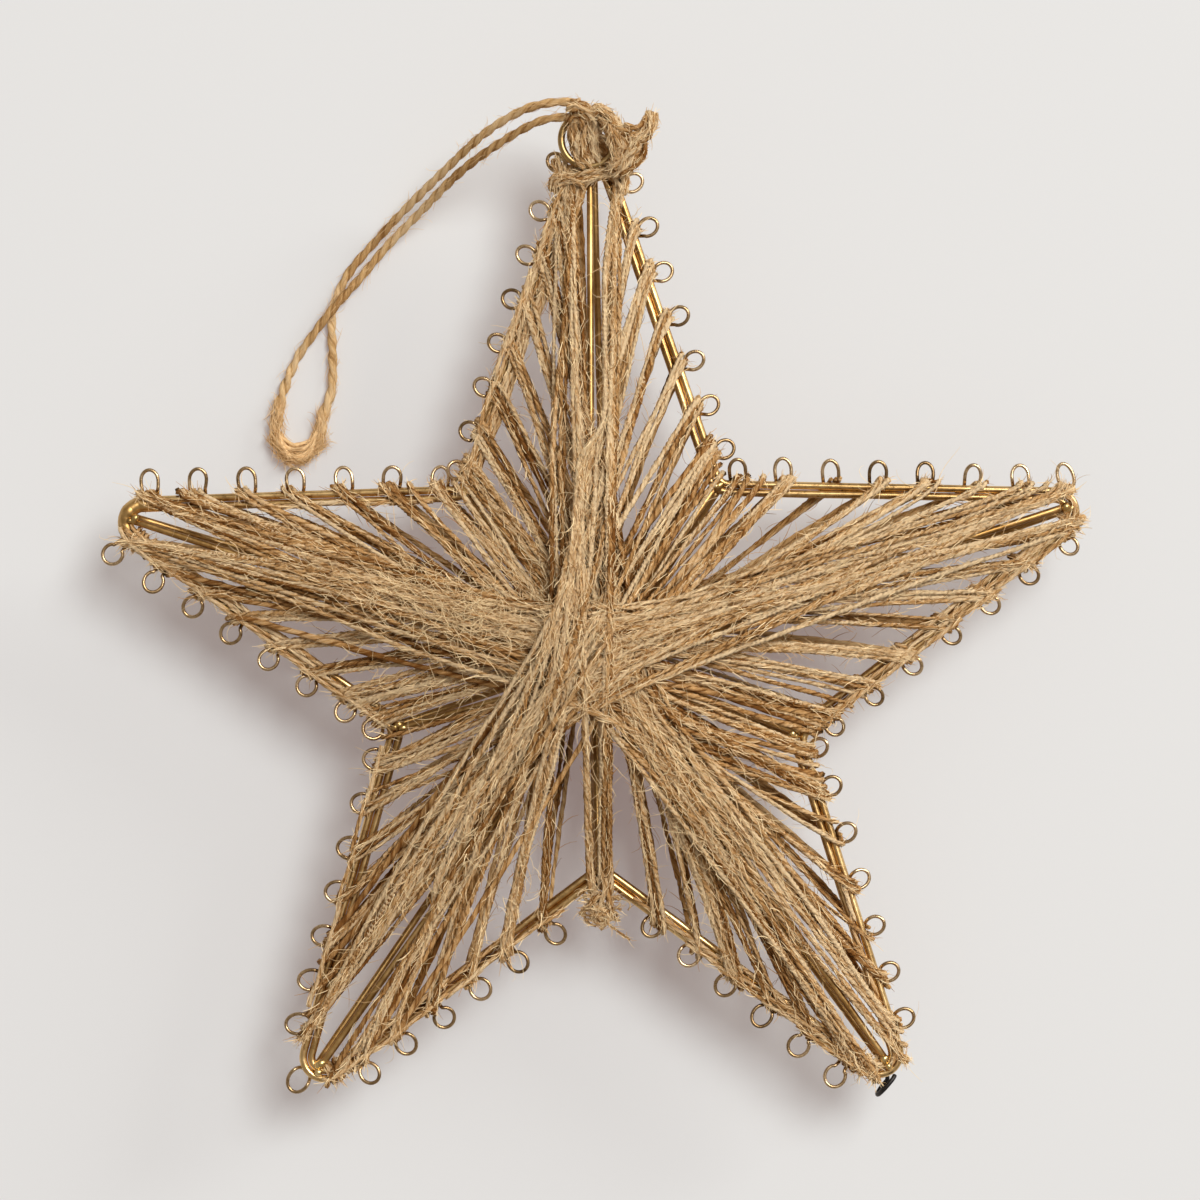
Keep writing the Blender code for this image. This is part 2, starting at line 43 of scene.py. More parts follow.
# ------------------------------------------------------------------ sizes (mm)
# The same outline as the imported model's: a star in the plane at OUTLINE_Z.
OUTLINE_Z = 20.0
TIP_ANGLES = (90.8, 162.7, 235.1, 305.7, 378.4)
TIP_RADII = (101.9, 101.6, 102.0, 101.9, 102.1)
TIP_BENDS = (4.7, 4.4, 4.3, 4.3, 4.3)
VALLEY_ANGLES = (128.1, 197.3, 270.5, 340.4, 416.1)
VALLEY_RADII = (45.1, 43.9, 43.2, 43.7, 44.1)
VALLEY_BEND = 2.6
ROD_RADIUS = 0.8
INNER_SHIFT = 1.62
EDGE_LOOPS = (  # count, first, second, last, measured from the valley corner
    (7, 6.4, 15.9, 63.8),
    (8, 3.3, 11.7, 68.2),
    (7, 4.4, 14.2, 63.6),
    (8, 3.2, 9.9, 66.4),
    (8, 7.1, 16.5, 72.6),
    (6, 14.5, 24.0, 61.7),
    (6, 14.5, 24.0, 62.5),
    (7, 3.3, 11.6, 61.1),
    (7, 6.6, 16.7, 66.8),
    (8, 3.5, 12.8, 70.8),
)
LOOP_SHAPES = (  # half width, half height, reach at the valley, at the tip, lean
    (1.75, 2.15, 5.7, 5.8, 15),
    (1.80, 2.05, 4.7, 6.4, -12),
    (1.75, 2.20, 5.3, 6.6, 0),
    (2.00, 2.10, 5.2, 7.0, 0),
    (2.10, 2.60, 4.5, 5.8, 15),
    (2.00, 2.15, 6.4, 6.2, 0),
    (2.00, 2.30, 4.6, 7.3, 0),
    (1.80, 2.10, 5.3, 5.1, 18),
    (1.75, 2.00, 5.0, 5.0, 15),
    (1.67, 2.30, 5.9, 5.3, 0),
)
LOOP_WIRE = 0.38
RING_CENTRE = (-2.2, 106.4)
RING_RADIUS = 5.45
RING_Z = 3.55
STRAND_RADIUS = 0.58
CORD_RADIUS = 0.85
CORD_ROUTE = (
    (-3.7, 113.6, 26.4),
    (-9.8, 113.6, 25.8),
    (-16.1, 112.0, 23.6),
    (-23.9, 107.7, 18.4),
    (-34.0, 99.3, 9.6),
    (-41.2, 92.9, 3.8),
    (-46.4, 87.6, 1.3),
    (-51.8, 81.3, 0.95),
    (-54.8, 75.2, 0.95),
    (-55.6, 70.4, 0.95),
    (-55.4, 64.4, 0.95),
    (-55.6, 56.7, 0.95),
    (-57.6, 50.6, 0.95),
    (-58.3, 45.8, 0.95),
    (-60.6, 43.2, 0.95),
    (-63.2, 42.6, 0.95),
    (-66.0, 44.2, 0.95),
    (-67.1, 48.0, 0.95),
    (-66.2, 54.4, 0.95),
    (-63.2, 62.4, 0.95),
    (-59.2, 68.3, 2.3),
    (-55.2, 73.4, 3.1),
    (-50.0, 79.4, 2.0),
    (-44.4, 86.0, 2.2),
    (-37.6, 92.6, 5.6),
    (-28.6, 100.6, 13.6),
    (-19.7, 106.3, 20.4),
    (-12.0, 110.0, 24.4),
    (-5.6, 110.9, 25.6),
)
# bindings: (strand radius, its route), x and y as seen from above the middle
RING_BUNDLES = (
    (1.4, 9, ((-5.7, 113.0, 6.4), (-3.9, 112.9, 7.4), (-2.2, 111.6, 7.2), (-1.8, 109.6, 5.2), (-3.1, 106.3, 3.8), (-3.5, 103.1, 3.2), (-2.2, 101.0, 3.0))),
    (1.2, 8, ((-5.9, 110.6, 5.4), (-4.5, 111.4, 6.4), (-4.3, 109.4, 4.8), (-4.5, 106.7, 3.6), (-3.7, 103.5, 3.0))),
    (1.2, 7, ((-0.6, 111.2, 6.0), (-1.0, 108.0, 4.6), (-1.8, 104.7, 3.4), (-0.6, 101.9, 3.0))),
    (1.5, 9, ((1.0, 112.4, 7.6), (2.2, 110.0, 7.4), (3.7, 107.1, 7.0), (4.5, 104.3, 6.2), (3.9, 101.0, 5.0))),
    (1.4, 8, ((7.9, 107.1, 7.2), (7.5, 104.7, 6.8), (6.1, 102.5, 6.0), (4.3, 100.2, 5.0))),
    (1.4, 8, ((5.5, 108.0, 7.6), (5.9, 105.1, 7.0), (4.7, 102.3, 6.0), (3.1, 100.2, 4.6))),
    (0.95, 7, ((-1.4, 112.2, 7.2), (0.2, 113.0, 8.2), (1.8, 112.2, 8.4), (3.1, 110.0, 8.2), (4.7, 108.4, 8.0), (6.7, 107.3, 8.0), (9.2, 107.5, 8.0))),
    (1.0, 6, ((7.5, 107.3, 8.0), (9.4, 108.0, 8.0), (10.4, 110.0, 8.0), (10.8, 112.4, 7.8))),
    (1.5, 6, ((-0.6, 107.1, 2.2), (1.0, 104.7, 1.8), (2.6, 102.7, 1.9))),
    # across the tip, under the ring
    (0.95, 7, ((-9.4, 96.4, 0.2), (-8.8, 98.2, 1.8), (-6.7, 99.2, 2.6), (-3.9, 99.0, 2.9), (-0.2, 99.2, 3.0), (2.6, 100.0, 3.2), (4.9, 100.2, 2.6))),
    (0.90, 6, ((-8.8, 102.7, 0.6), (-7.9, 100.2, 2.0), (-8.6, 97.2, 1.0))),
    (0.90, 6, ((4.3, 100.6, 3.0), (5.5, 98.6, 1.8), (4.7, 95.7, 1.6))),
)
RING_BINDING = (
    (0.70, ((5.1, 109.8, 9.0), (7.1, 109.2, 9.2), (8.6, 109.6, 8.9), (9.4, 111.0, 8.6), (9.9, 112.0, 8.3))),
    (0.60, ((0.0, 111.2, 8.6), (1.8, 109.8, 9.0), (2.9, 107.1, 8.6), (3.3, 104.3, 7.8), (4.1, 101.8, 6.6))),
    (0.16, ((1.8, 110.4, 9.9), (2.0, 108.0, 9.2), (2.0, 105.5, 8.4), (2.6, 103.5, 8.0), (3.1, 101.4, 7.0))),
    (0.60, ((2.6, 100.2, 3.4), (3.7, 98.2, 2.8), (4.7, 96.1, 2.2), (4.3, 93.7, 1.9))),
    (0.55, ((-6.3, 99.4, 3.4), (-4.3, 98.2, 3.2), (-3.1, 97.0, 2.2), (-4.3, 96.1, 0.8))),
)
VALLEY_BINDING = (
    (0.60, ((1.4, -43.6, 3.6), (1.0, -46.6, 2.8), (0.2, -49.1, 2.0), (-1.0, -50.7, 0.8), (-0.6, -52.4, -0.2), (1.0, -52.8, 0.2), (1.8, -51.3, 1.2), (1.0, -49.7, 1.8))),
    (0.60, ((2.2, -44.8, 3.2), (2.0, -47.9, 2.4), (2.6, -50.3, 1.2), (1.8, -52.1, 0.6), (0.2, -51.7, 1.0), (-0.4, -49.9, 1.6), (0.8, -48.5, 2.0))),
    (0.35, ((-1.0, -48.1, 1.4), (-2.4, -49.1, 0.8), (-3.1, -50.9, 0.2), (-2.2, -52.8, -0.4), (-0.6, -53.4, -0.4))),
    (0.30, ((1.4, -51.1, 1.0), (2.9, -50.1, 1.2), (4.5, -48.9, 1.4))),
    (0.30, ((1.4, -52.6, 0.2), (3.5, -54.2, -0.4), (6.3, -56.2, -1.0))),
    (0.60, ((0.2, -47.1, 2.6), (-1.4, -48.3, 2.0), (-1.6, -50.3, 1.2), (0.2, -51.1, 1.8), (2.2, -49.7, 1.8))),
    (0.50, ((-0.2, -49.7, 1.9), (1.2, -50.7, 2.1), (1.6, -52.6, 1.0), (0.4, -54.0, -0.4))),
)
EYE = (0.2, 13.0, 900.0)  # the camera, mm from the star's centre

# ---------------------------------------------------------------- plane shapes


def polar(radius, degrees):
    a = math.radians(degrees)
    return Vector((radius * math.cos(a), radius * math.sin(a)))


def turned(v, angle):
    c, s = math.cos(angle), math.sin(angle)
    return Vector((c * v.x - s * v.y, s * v.x + c * v.y))


def rightward(v):
    return Vector((v.y, -v.x))


def outline_primitives():
    tips = [polar(r - b, a) for r, b, a in zip(TIP_RADII, TIP_BENDS, TIP_ANGLES)]
    valleys = [polar(r, a) for r, a in zip(VALLEY_RADII, VALLEY_ANGLES)]
    edges = []
    for i in range(5):
        for corner, side in ((valleys[i - 1], -1), (valleys[i], 1)):
            to = tips[i] - corner
            lean = math.asin(TIP_BENDS[i] / to.length)
            reach = math.sqrt(to.length_squared - TIP_BENDS[i] ** 2)
            edges.append((corner, corner + turned(to.normalized(), side * lean) * reach))
    prims = []
    for i in range(5):
        up, down = edges[2 * i], edges[2 * i + 1]
        before, after = edges[2 * i - 1], edges[(2 * i + 2) % 10]
        u_in = (before[0] - before[1]).normalized()
        u_out = (up[1] - up[0]).normalized()
        turn = math.acos(u_in.dot(u_out))
        cut = VALLEY_BEND * math.tan(turn / 2)
        prims.append(("valley", i - 1, up[0], u_in, turn, cut))
        u_down = (down[0] - down[1]).normalized()
        turn2 = math.acos(u_down.dot((after[1] - after[0]).normalized()))
        cut2 = VALLEY_BEND * math.tan(turn2 / 2)
        prims.append(("line", 2 * i, up[0] + u_out * cut, up[1], cut))
        a0 = math.atan2(up[1].y - tips[i].y, up[1].x - tips[i].x)
        a1 = math.atan2(down[1].y - tips[i].y, down[1].x - tips[i].x)
        while a1 < a0:
            a1 += 2 * math.pi
        prims.append(("tip", i, tips[i], a0, a1))
        prims.append(("line", 2 * i + 1, down[1], down[0] - u_down * cut2, cut2))
    return prims


def arc_points(prim, steps):
    out = []
    if prim[0] == "tip":
        _, number, centre, a0, a1 = prim
        for k in range(steps + 1):
            n = polar(1, math.degrees(a0 + (a1 - a0) * k / steps))
            out.append((centre + n * TIP_BENDS[number], n))
    else:
        _, _, corner, u_in, turn, cut = prim
        centre = corner - u_in * cut + rightward(u_in) * VALLEY_BEND
        for k in range(steps + 1):
            n = turned(rightward(u_in), -turn * k / steps)
            out.append((centre - n * VALLEY_BEND, n))
    return out


class Outline:
    """The outer rod's centre line by distance travelled counter-clockwise."""

    def __init__(self):
        self.fine, self.edge_start, self.corner_s = [], {}, []
        s, last = 0.0, None
        for prim in outline_primitives():
            if prim[0] == "line":
                _, edge, p, q, cut = prim
                n = rightward((q - p).normalized())
                pts = [(p, n), (q, n)]
            else:
                pts = arc_points(prim, 24)
            first = s
            for p, n in pts:
                if last is not None:
                    s += (p - last).length
                self.fine.append((s, p, n))
                last = p
            if prim[0] == "line":
                if edge % 2 == 0:
                    self.edge_start[edge] = (self.fine[-2][0] - cut, 1)
                else:
                    self.edge_start[edge] = (self.fine[-1][0] + cut, -1)
            else:
                self.corner_s.append((prim[0], prim[1], first, s))
        self.length = s + (self.fine[0][1] - last).length
        self.fine.append((self.length, self.fine[0][1], self.fine[0][2]))
        self.keys = np.array([f[0] for f in self.fine])

    def at(self, s):
        s %= self.length
        hi = int(np.searchsorted(self.keys, s, side="right"))
        hi = min(max(hi, 1), len(self.fine) - 1)
        s0, p0, n0 = self.fine[hi - 1]
        s1, p1, n1 = self.fine[hi]
        f = 0 if s1 - s0 < 1e-9 else (s - s0) / (s1 - s0)
        return p0 * (1 - f) + p1 * f, (n0 * (1 - f) + n1 * f).normalized()

    def on_edge(self, edge, distance):
        start, sign = self.edge_start[edge]
        return (start + sign * distance) % self.length

    def corner(self, kind, number):
        for k, i, s0, s1 in self.corner_s:
            if k == kind and i == number:
                return (s0 + s1) / 2


OUTLINE = Outline()


def loop_places():
    """(distance, edge, number in its edge from the valley) of every loop."""
    out = []
    for edge, (count, first, second, last) in enumerate(EDGE_LOOPS):
        for k in range(count):
            d = second + (last - second) * (k - 1) / (count - 2) if k else first
            out.append((OUTLINE.on_edge(edge, d), edge, k))
    return sorted(out)


# ---------------------------------------------------------------- tube meshes
def two_ply(angle, ply):
    """A two-ply strand's outline; ply is a ply's radius as a share of its own."""
    c, s = np.abs(np.cos(angle)), np.sin(angle)
    off = 1 - ply
    return off * c + np.sqrt(np.maximum(ply * ply - off * off * s * s, 1e-6))


class Tubes:
    """Gathers swept tubes, then makes mesh objects of them."""

    def __init__(self):
        self.verts, self.faces, self.fibre, self.tone, self.ply = [], [], [], [], []
        self.count = 0
        self.lines = []  # (points, radius) of every strand, for the fuzz

    def add(self, pts, radius, sides, tone=0.5, pitch=None, phase=0.0, caps=True, keep=True, seed=0, ply=0.8):
        """pts in mm, n x 3.  With a pitch, the tube is a twisted two-ply strand."""
        pts = np.asarray(pts, float)
        n = len(pts)
        seg = np.linalg.norm(np.diff(pts, axis=0), axis=1)
        along = np.concatenate(([0], np.cumsum(seg)))
        tan = np.empty_like(pts)
        tan[1:-1] = pts[2:] - pts[:-2]
        tan[0], tan[-1] = pts[1] - pts[0], pts[-1] - pts[-2]
        tan /= np.linalg.norm(tan, axis=1)[:, None] + 1e-12
        ref = np.array((0.0, 0.0, 1.0))
        if abs(tan[0] @ ref) > 0.9:
            ref = np.array((1.0, 0.0, 0.0))
        refs = np.empty_like(pts)
        for i in range(n):
            ref = ref - tan[i] * (ref @ tan[i])
            ref /= math.sqrt(ref @ ref)
            refs[i] = ref
        side = np.cross(tan, refs)
        ang = 2 * math.pi * np.arange(sides) / sides
        if pitch:
            plies = np.broadcast_to(np.asarray(ply, float), (n,))
            prof = two_ply(ang[None, :], plies[:, None])
            turn = 2 * math.pi * along / pitch + phase
        else:
            prof = np.ones((n, sides))
            turn = np.full(n, phase)
        rad = np.broadcast_to(np.asarray(radius, float), (n,))
        a = turn[:, None] + ang[None, :]
        off = refs[:, None, :] * np.sin(a)[..., None] + side[:, None, :] * np.cos(a)[..., None]
        v = pts[:, None, :] + off * (rad[:, None] * prof)[..., None]
        base = self.count
        self.verts.append(v.reshape(-1, 3))
        fib = np.empty((n, sides, 3))
        fib[..., 0] = np.cos(ang)[None, :] + seed * 7.31
        fib[..., 1] = np.sin(ang)[None, :] + seed * 3.17
        fib[..., 2] = along[:, None]
        self.fibre.append(fib.reshape(-1, 3))
        t = np.broadcast_to(np.asarray(tone, float), (n,))
        self.tone.append(np.repeat(t, sides))
        self.ply.append(np.tile(np.cos(ang), n) if pitch else np.ones(n * sides))
        i = np.arange(n - 1)[:, None] * sides
        k = np.arange(sides)[None, :]
        j = (k + 1) % sides
        quads = np.stack((base + i + k, base + i + j, base + i + sides + j, base + i + sides + k), -1)
        self.faces.append(quads.reshape(-1, 4))
        self.count += n * sides
        if caps:
            for row, flip in ((0, True), (n - 1, False)):
                ring = base + row * sides + np.arange(sides)
                if flip:
                    ring = ring[::-1]
                for m in range(1, sides - 1, 2):
                    last = ring[m + 2] if m + 2 < sides else ring[m + 1]
                    self.faces.append(np.array([[ring[0], ring[m], ring[m + 1], last]]))
        if keep:
            self.lines.append((pts, rad))

    def add_hairs(self, pts, radius, tone):
        """Many thin three-sided fibres at once: pts is hairs x steps x 3."""
        h, n, _ = pts.shape
        tan = np.gradient(pts, axis=1)
        tan /= np.linalg.norm(tan, axis=2, keepdims=True) + 1e-9
        ref = np.zeros((h, 1, 3))
        ref[..., 0] = 0.31
        ref[..., 1] = -0.17
        ref[..., 2] = 0.94
        ref = ref - tan * np.sum(ref * tan, axis=2, keepdims=True)
        ref /= np.linalg.norm(ref, axis=2, keepdims=True) + 1e-9
        side = np.cross(tan, ref)
        taper = 1.0 - 0.65 * np.linspace(0, 1, n) ** 2
        rad = np.asarray(radius, float).reshape(h, 1) * taper[None, :]
        ang = 2 * math.pi * np.arange(3) / 3 + 0.5
        off = ref[:, :, None, :] * np.sin(ang)[None, None, :, None] + side[:, :, None, :] * np.cos(ang)[None, None, :, None]
        v = pts[:, :, None, :] + off * rad[:, :, None, None]
        base = self.count
        self.verts.append(v.reshape(-1, 3))
        fib = np.zeros((h, n, 3, 3))
        fib[..., 0] = np.arange(h)[:, None, None] * 0.73
        fib[..., 2] = np.arange(n)[None, :, None] * 0.8
        self.fibre.append(fib.reshape(-1, 3))
        self.tone.append(np.repeat(np.asarray(tone, float), n * 3))
        self.ply.append(np.ones(h * n * 3))
        i = (np.arange(h)[:, None, None] * n + np.arange(n - 1)[None, :, None]) * 3
        k = np.arange(3)[None, None, :]
        j = (k + 1) % 3
        quads = np.stack(np.broadcast_arrays(base + i + k, base + i + j, base + i + 3 + j, base + i + 3 + k), -1)
        self.faces.append(quads.reshape(-1, 4))
        self.count += h * n * 3

    def add_ribbons(self, pts, width, tone, gen):
        """Many flat fibres at once: pts is hairs x steps x 3."""
        h, n, _ = pts.shape
        tan = np.gradient(pts, axis=1)
        tan /= np.linalg.norm(tan, axis=2, keepdims=True) + 1e-9
        lie = gen.normal(size=(h, 1, 3)) * 0.45
        lie[..., 2] += 1.0
        across = np.cross(tan, lie)
        across /= np.linalg.norm(across, axis=2, keepdims=True) + 1e-9
        taper = 1.0 - 0.6 * np.linspace(0, 1, n) ** 2
        half = (np.asarray(width, float).reshape(h, 1) * taper[None, :])[..., None]
        v = np.stack((pts - across * half, pts + across * half), 2)
        base = self.count
        self.verts.append(v.reshape(-1, 3))
        fib = np.zeros((h, n, 2, 3))
        fib[..., 0] = np.arange(h)[:, None, None] * 0.73
        fib[..., 2] = np.arange(n)[None, :, None] * 0.8
        self.fibre.append(fib.reshape(-1, 3))
        self.tone.append(np.repeat(np.asarray(tone, float), n * 2))
        self.ply.append(np.ones(h * n * 2))
        i = base + (np.arange(h)[:, None] * n + np.arange(n - 1)[None, :]) * 2
        self.faces.append(np.stack((i, i + 1, i + 3, i + 2), -1).reshape(-1, 4))
        self.count += h * n * 2

    def object(self, name, materials):
        verts = np.concatenate(self.verts) * MM
        faces = np.concatenate(self.faces)
        print(name, len(faces) * 2, "triangles")
        return mesh_object(
            name, verts, faces, np.concatenate(self.fibre), np.concatenate(self.tone), np.concatenate(self.ply), materials
        )


def mesh_object(name, verts, faces, fibre, tone, ply, materials):
    """An object from arrays; a quad whose last two corners agree is a triangle."""
    tri = faces[:, 2] == faces[:, 3]
    sizes = np.where(tri, 3, 4)
    mask = np.ones(faces.shape, bool)
    mask[tri, 3] = False
    corners = faces[mask]
    mesh = bpy.data.meshes.new(name)
    mesh.vertices.add(len(verts))
    mesh.vertices.foreach_set("co", verts.astype(np.float32).ravel())
    mesh.loops.add(len(corners))
    mesh.loops.foreach_set("vertex_index", corners.astype(np.int32))
    mesh.polygons.add(len(faces))
    starts = np.concatenate(([0], np.cumsum(sizes)[:-1])).astype(np.int32)
    mesh.polygons.foreach_set("loop_start", starts)
    mesh.polygons.foreach_set("use_smooth", np.ones(len(faces), bool))
    mesh.update(calc_edges=True)
    mesh.validate()
    f = mesh.attributes.new("fibre", "FLOAT_VECTOR", "POINT")
    f.data.foreach_set("vector", fibre.astype(np.float32).ravel())
    t = mesh.attributes.new("tone", "FLOAT", "POINT")
    t.data.foreach_set("value", tone.astype(np.float32))
    c = mesh.attributes.new("ply", "FLOAT", "POINT")
    c.data.foreach_set("value", ply.astype(np.float32))
    obj = bpy.data.objects.new(name, mesh)
    bpy.context.scene.collection.objects.link(obj)
    for m in materials:
        mesh.materials.append(m)
    return obj


def wave(rng, length, scale, amount):
    """A smooth random offset along a line, zero at its ends."""
    n = max(2, int(length / scale))
    knots = np.array([rng.uniform(-1, 1) for _ in range(n + 1)])
    knots[0] = knots[-1] = 0

    def value(u):
        x = np.asarray(u) * n
        i = np.clip(np.floor(x).astype(int), 0, n - 1)
        f = x - i
        f = f * f * (3 - 2 * f)
        return (knots[i] * (1 - f) + knots[i + 1] * f) * amount

    return value


def even(points, step):
    """Points (n x 3) resampled at even steps along their Catmull-Rom curve."""
    p = np.asarray(points, float)
    p = np.vstack((2 * p[0] - p[1], p, 2 * p[-1] - p[-2]))
    t = np.linspace(0, 1, 17)[:-1][:, None]
    dense = []
    for i in range(1, len(p) - 2):
        a, b, c, d = p[i - 1 : i + 3]
        dense.append(
            0.5 * (2 * b + (c - a) * t + (2 * a - 5 * b + 4 * c - d) * t**2 + (3 * b - a - 3 * c + d) * t**3)
        )
    dense = np.vstack(dense + [p[-2][None, :]])
    s = np.concatenate(([0], np.cumsum(np.linalg.norm(np.diff(dense, axis=0), axis=1))))
    count = max(2, int(round(s[-1] / step)) + 1)
    x = np.linspace(0, s[-1], count)
    return np.stack([np.interp(x, s, dense[:, k]) for k in range(3)], -1)


def length_of(pts):
    return float(np.sum(np.linalg.norm(np.diff(pts, axis=0), axis=1)))


def sprout(lines, count, gen, reach, radius, leave, curl, steps, up=0.6, weight=None, low=0.15):
    """Fibres that leave the strands.  reach and radius are (least, most) in mm,
    leave the angle from the strand in radians, curl the bend in radians a mm."""
    lens = np.array([length_of(p) for p, _ in lines])
    if weight is not None:
        lens = lens * np.asarray(weight)
    pick = gen.choice(len(lines), size=count, p=lens / lens.sum())
    u = gen.random(count)
    start = np.empty((count, 3))
    tan = np.empty((count, 3))
    rad = np.empty(count)
    for k in range(count):
        pts, r = lines[pick[k]]
        i = min(int(u[k] * (len(pts) - 1)), len(pts) - 2)
        start[k] = pts[i]
        tan[k] = pts[i + 1] - pts[i]
        rad[k] = r[i]
    tan /= np.linalg.norm(tan, axis=1, keepdims=True) + 1e-9
    tan *= np.where(gen.random(count) < 0.5, -1.0, 1.0)[:, None]
    out = gen.normal(size=(count, 3))
    out[:, 2] = np.abs(out[:, 2]) * (1 + up) if up > 0 else -np.abs(out[:, 2]) * (1 - up) if up < 0 else out[:, 2]
    out -= tan * np.sum(out * tan, axis=1, keepdims=True)
    out /= np.linalg.norm(out, axis=1, keepdims=True) + 1e-9
    angle = gen.uniform(leave[0], leave[1], count)[:, None]
    d = tan * np.cos(angle) + out * np.sin(angle)
    here = start + out * rad[:, None] * 0.85
    total = gen.uniform(reach[0], reach[1], count) ** 1.0
    step = (total / (steps - 1))[:, None]
    spin = gen.normal(size=(count, 3)) * gen.uniform(0.2, 1.0, (count, 1)) * curl
    path = np.empty((count, steps, 3))
    for k in range(steps):
        path[:, k] = here
        here = here + d * step
        spin = spin + gen.normal(size=(count, 3)) * curl * 0.35
        d = d + np.cross(spin, d) * step
        d[:, 2] -= 0.02 * step[:, 0]
        d /= np.linalg.norm(d, axis=1, keepdims=True) + 1e-9
    path[:, :, 0] = np.clip(path[:, :, 0], -101.4, 100.2)
    path[:, :, 1] = np.clip(path[:, :, 1], -88.3, 115.4)
    path[:, :, 2] = np.clip(path[:, :, 2], low, 41.0)
    return path, gen.uniform(radius[0], radius[1], count), gen.random(count), start


# ------------------------------------------------------------------- materials


class Nodes:
    """A short way to write shader nodes."""

    def __init__(self, name):
        self.mat = bpy.data.materials.new(name)
        self.mat.use_nodes = True
        self.tree = self.mat.node_tree
        self.shader = self.tree.nodes["Principled BSDF"]

    def link(self, a, b):
        self.tree.links.new(a, b)

    def ramp(self, fac, stops):
        node = self.tree.nodes.new("ShaderNodeValToRGB")
        el = node.color_ramp.elements
        while len(el) < len(stops):
            el.new(0.5)
        for e, (pos, col) in zip(el, stops):
            e.position = pos
            e.color = (*col, 1) if len(col) == 3 else col
        self.link(fac, node.inputs[0])
        return node.outputs["Color"]

    def maths(self, op, a, b=None, clamp=False):
        node = self.tree.nodes.new("ShaderNodeMath")
        node.operation = op
        node.use_clamp = clamp
        for k, v in enumerate((a, b)):
            if v is None:
                continue
            if isinstance(v, (int, float)):
                node.inputs[k].default_value = v
            else:
                self.link(v, node.inputs[k])
        return node.outputs[0]

    def mix(self, fac, a, b, blend="MIX"):
        node = self.tree.nodes.new("ShaderNodeMix")
        node.data_type = "RGBA"
        node.blend_type = blend
        ins = [s for s in node.inputs if s.type in ("RGBA",)]
        f = node.inputs[0]
        for sock, v in ((f, fac), (ins[0], a), (ins[1], b)):
            if isinstance(v, (int, float)):
                sock.default_value = v
            elif isinstance(v, tuple):
                sock.default_value = (*v, 1)
            else:
                self.link(v, sock)
        return [s for s in node.outputs if s.type == "RGBA"][0]

    def noise(self, vector, scale, detail=3.0, rough=0.5):
        node = self.tree.nodes.new("ShaderNodeTexNoise")
        node.inputs["Scale"].default_value = scale
        node.inputs["Detail"].default_value = detail
        node.inputs["Roughness"].default_value = rough
        self.link(vector, node.inputs["Vector"])
        return node.outputs["Fac"]

    def scaled(self, vector, scale):
        node = self.tree.nodes.new("ShaderNodeMapping")
        node.inputs["Scale"].default_value = scale
        self.link(vector, node.inputs["Vector"])
        return node.outputs[0]

    def attribute(self, name, out):
        node = self.tree.nodes.new("ShaderNodeAttribute")
        node.attribute_name = name
        return node.outputs[out]

    def bump(self, height, strength, distance):
        node = self.tree.nodes.new("ShaderNodeBump")
        node.inputs["Strength"].default_value = strength
        node.inputs["Distance"].default_value = distance
        self.link(height, node.inputs["Height"])
        self.link(node.outputs[0], self.shader.inputs["Normal"])


def twine_material(name, dark, mid, light):
    m = Nodes(name)
    fib = m.attribute("fibre", "Vector")
    tone = m.attribute("tone", "Fac")
    ply = m.attribute("ply", "Fac")
    place = m.tree.nodes.new("ShaderNodeTexCoord").outputs["Object"]
    # fibres run along the plies, which the mesh twists
    fine = m.noise(m.scaled(fib, (3.4, 3.4, 0.24)), 2.4, 4.0, 0.7)
    patches = m.noise(m.scaled(fib, (0.6, 0.6, 0.10)), 1.0, 2.0, 0.5)
    broad = m.noise(place, 45.0, 2.0, 0.5)
    # the groove between the two plies: a bump there, and painted shade that darkens the colour in it
    crown = m.maths("MULTIPLY", m.maths("ABSOLUTE", ply), 1.9, clamp=True)
    groove = m.maths("SUBTRACT", 1.0, m.maths("POWER", crown, 0.7), clamp=True)
    value = m.maths("ADD", m.maths("MULTIPLY", fine, 0.52), m.maths("MULTIPLY", patches, 0.30))
    value = m.maths("ADD", value, m.maths("MULTIPLY", m.maths("SUBTRACT", tone, 0.5), 0.36))
    value = m.maths("ADD", value, m.maths("MULTIPLY", m.maths("SUBTRACT", broad, 0.5), 0.20))
    value = m.maths("ADD", value, 0.125)
    value = m.maths("SUBTRACT", value, m.maths("MULTIPLY", groove, 0.13), clamp=True)
    colour = m.ramp(value, ((0.37, dark), (0.50, mid), (0.61, light)))
    m.link(colour, m.shader.inputs["Base Color"])
    rough = m.maths("ADD", 0.72, m.maths("MULTIPLY", fine, 0.2))
    m.link(rough, m.shader.inputs["Roughness"])
    m.shader.inputs["Specular IOR Level"].default_value = 0.10
    height = m.maths("SUBTRACT", fine, m.maths("MULTIPLY", groove, 0.9))
    m.bump(height, 0.9, 0.00040)
    return m.mat


def hair_material(name, dark, light):
    m = Nodes(name)
    tone = m.attribute("tone", "Fac")
    place = m.tree.nodes.new("ShaderNodeTexCoord").outputs["Object"]
    n = m.noise(place, 260.0, 2.0)
    value = m.maths("ADD", m.maths("MULTIPLY", tone, 0.7), m.maths("MULTIPLY", n, 0.3))
    m.link(m.ramp(value, ((0.2, dark), (0.75, light))), m.shader.inputs["Base Color"])
    m.shader.inputs["Roughness"].default_value = 0.6
    m.shader.inputs["Specular IOR Level"].default_value = 0.12
    return m.mat


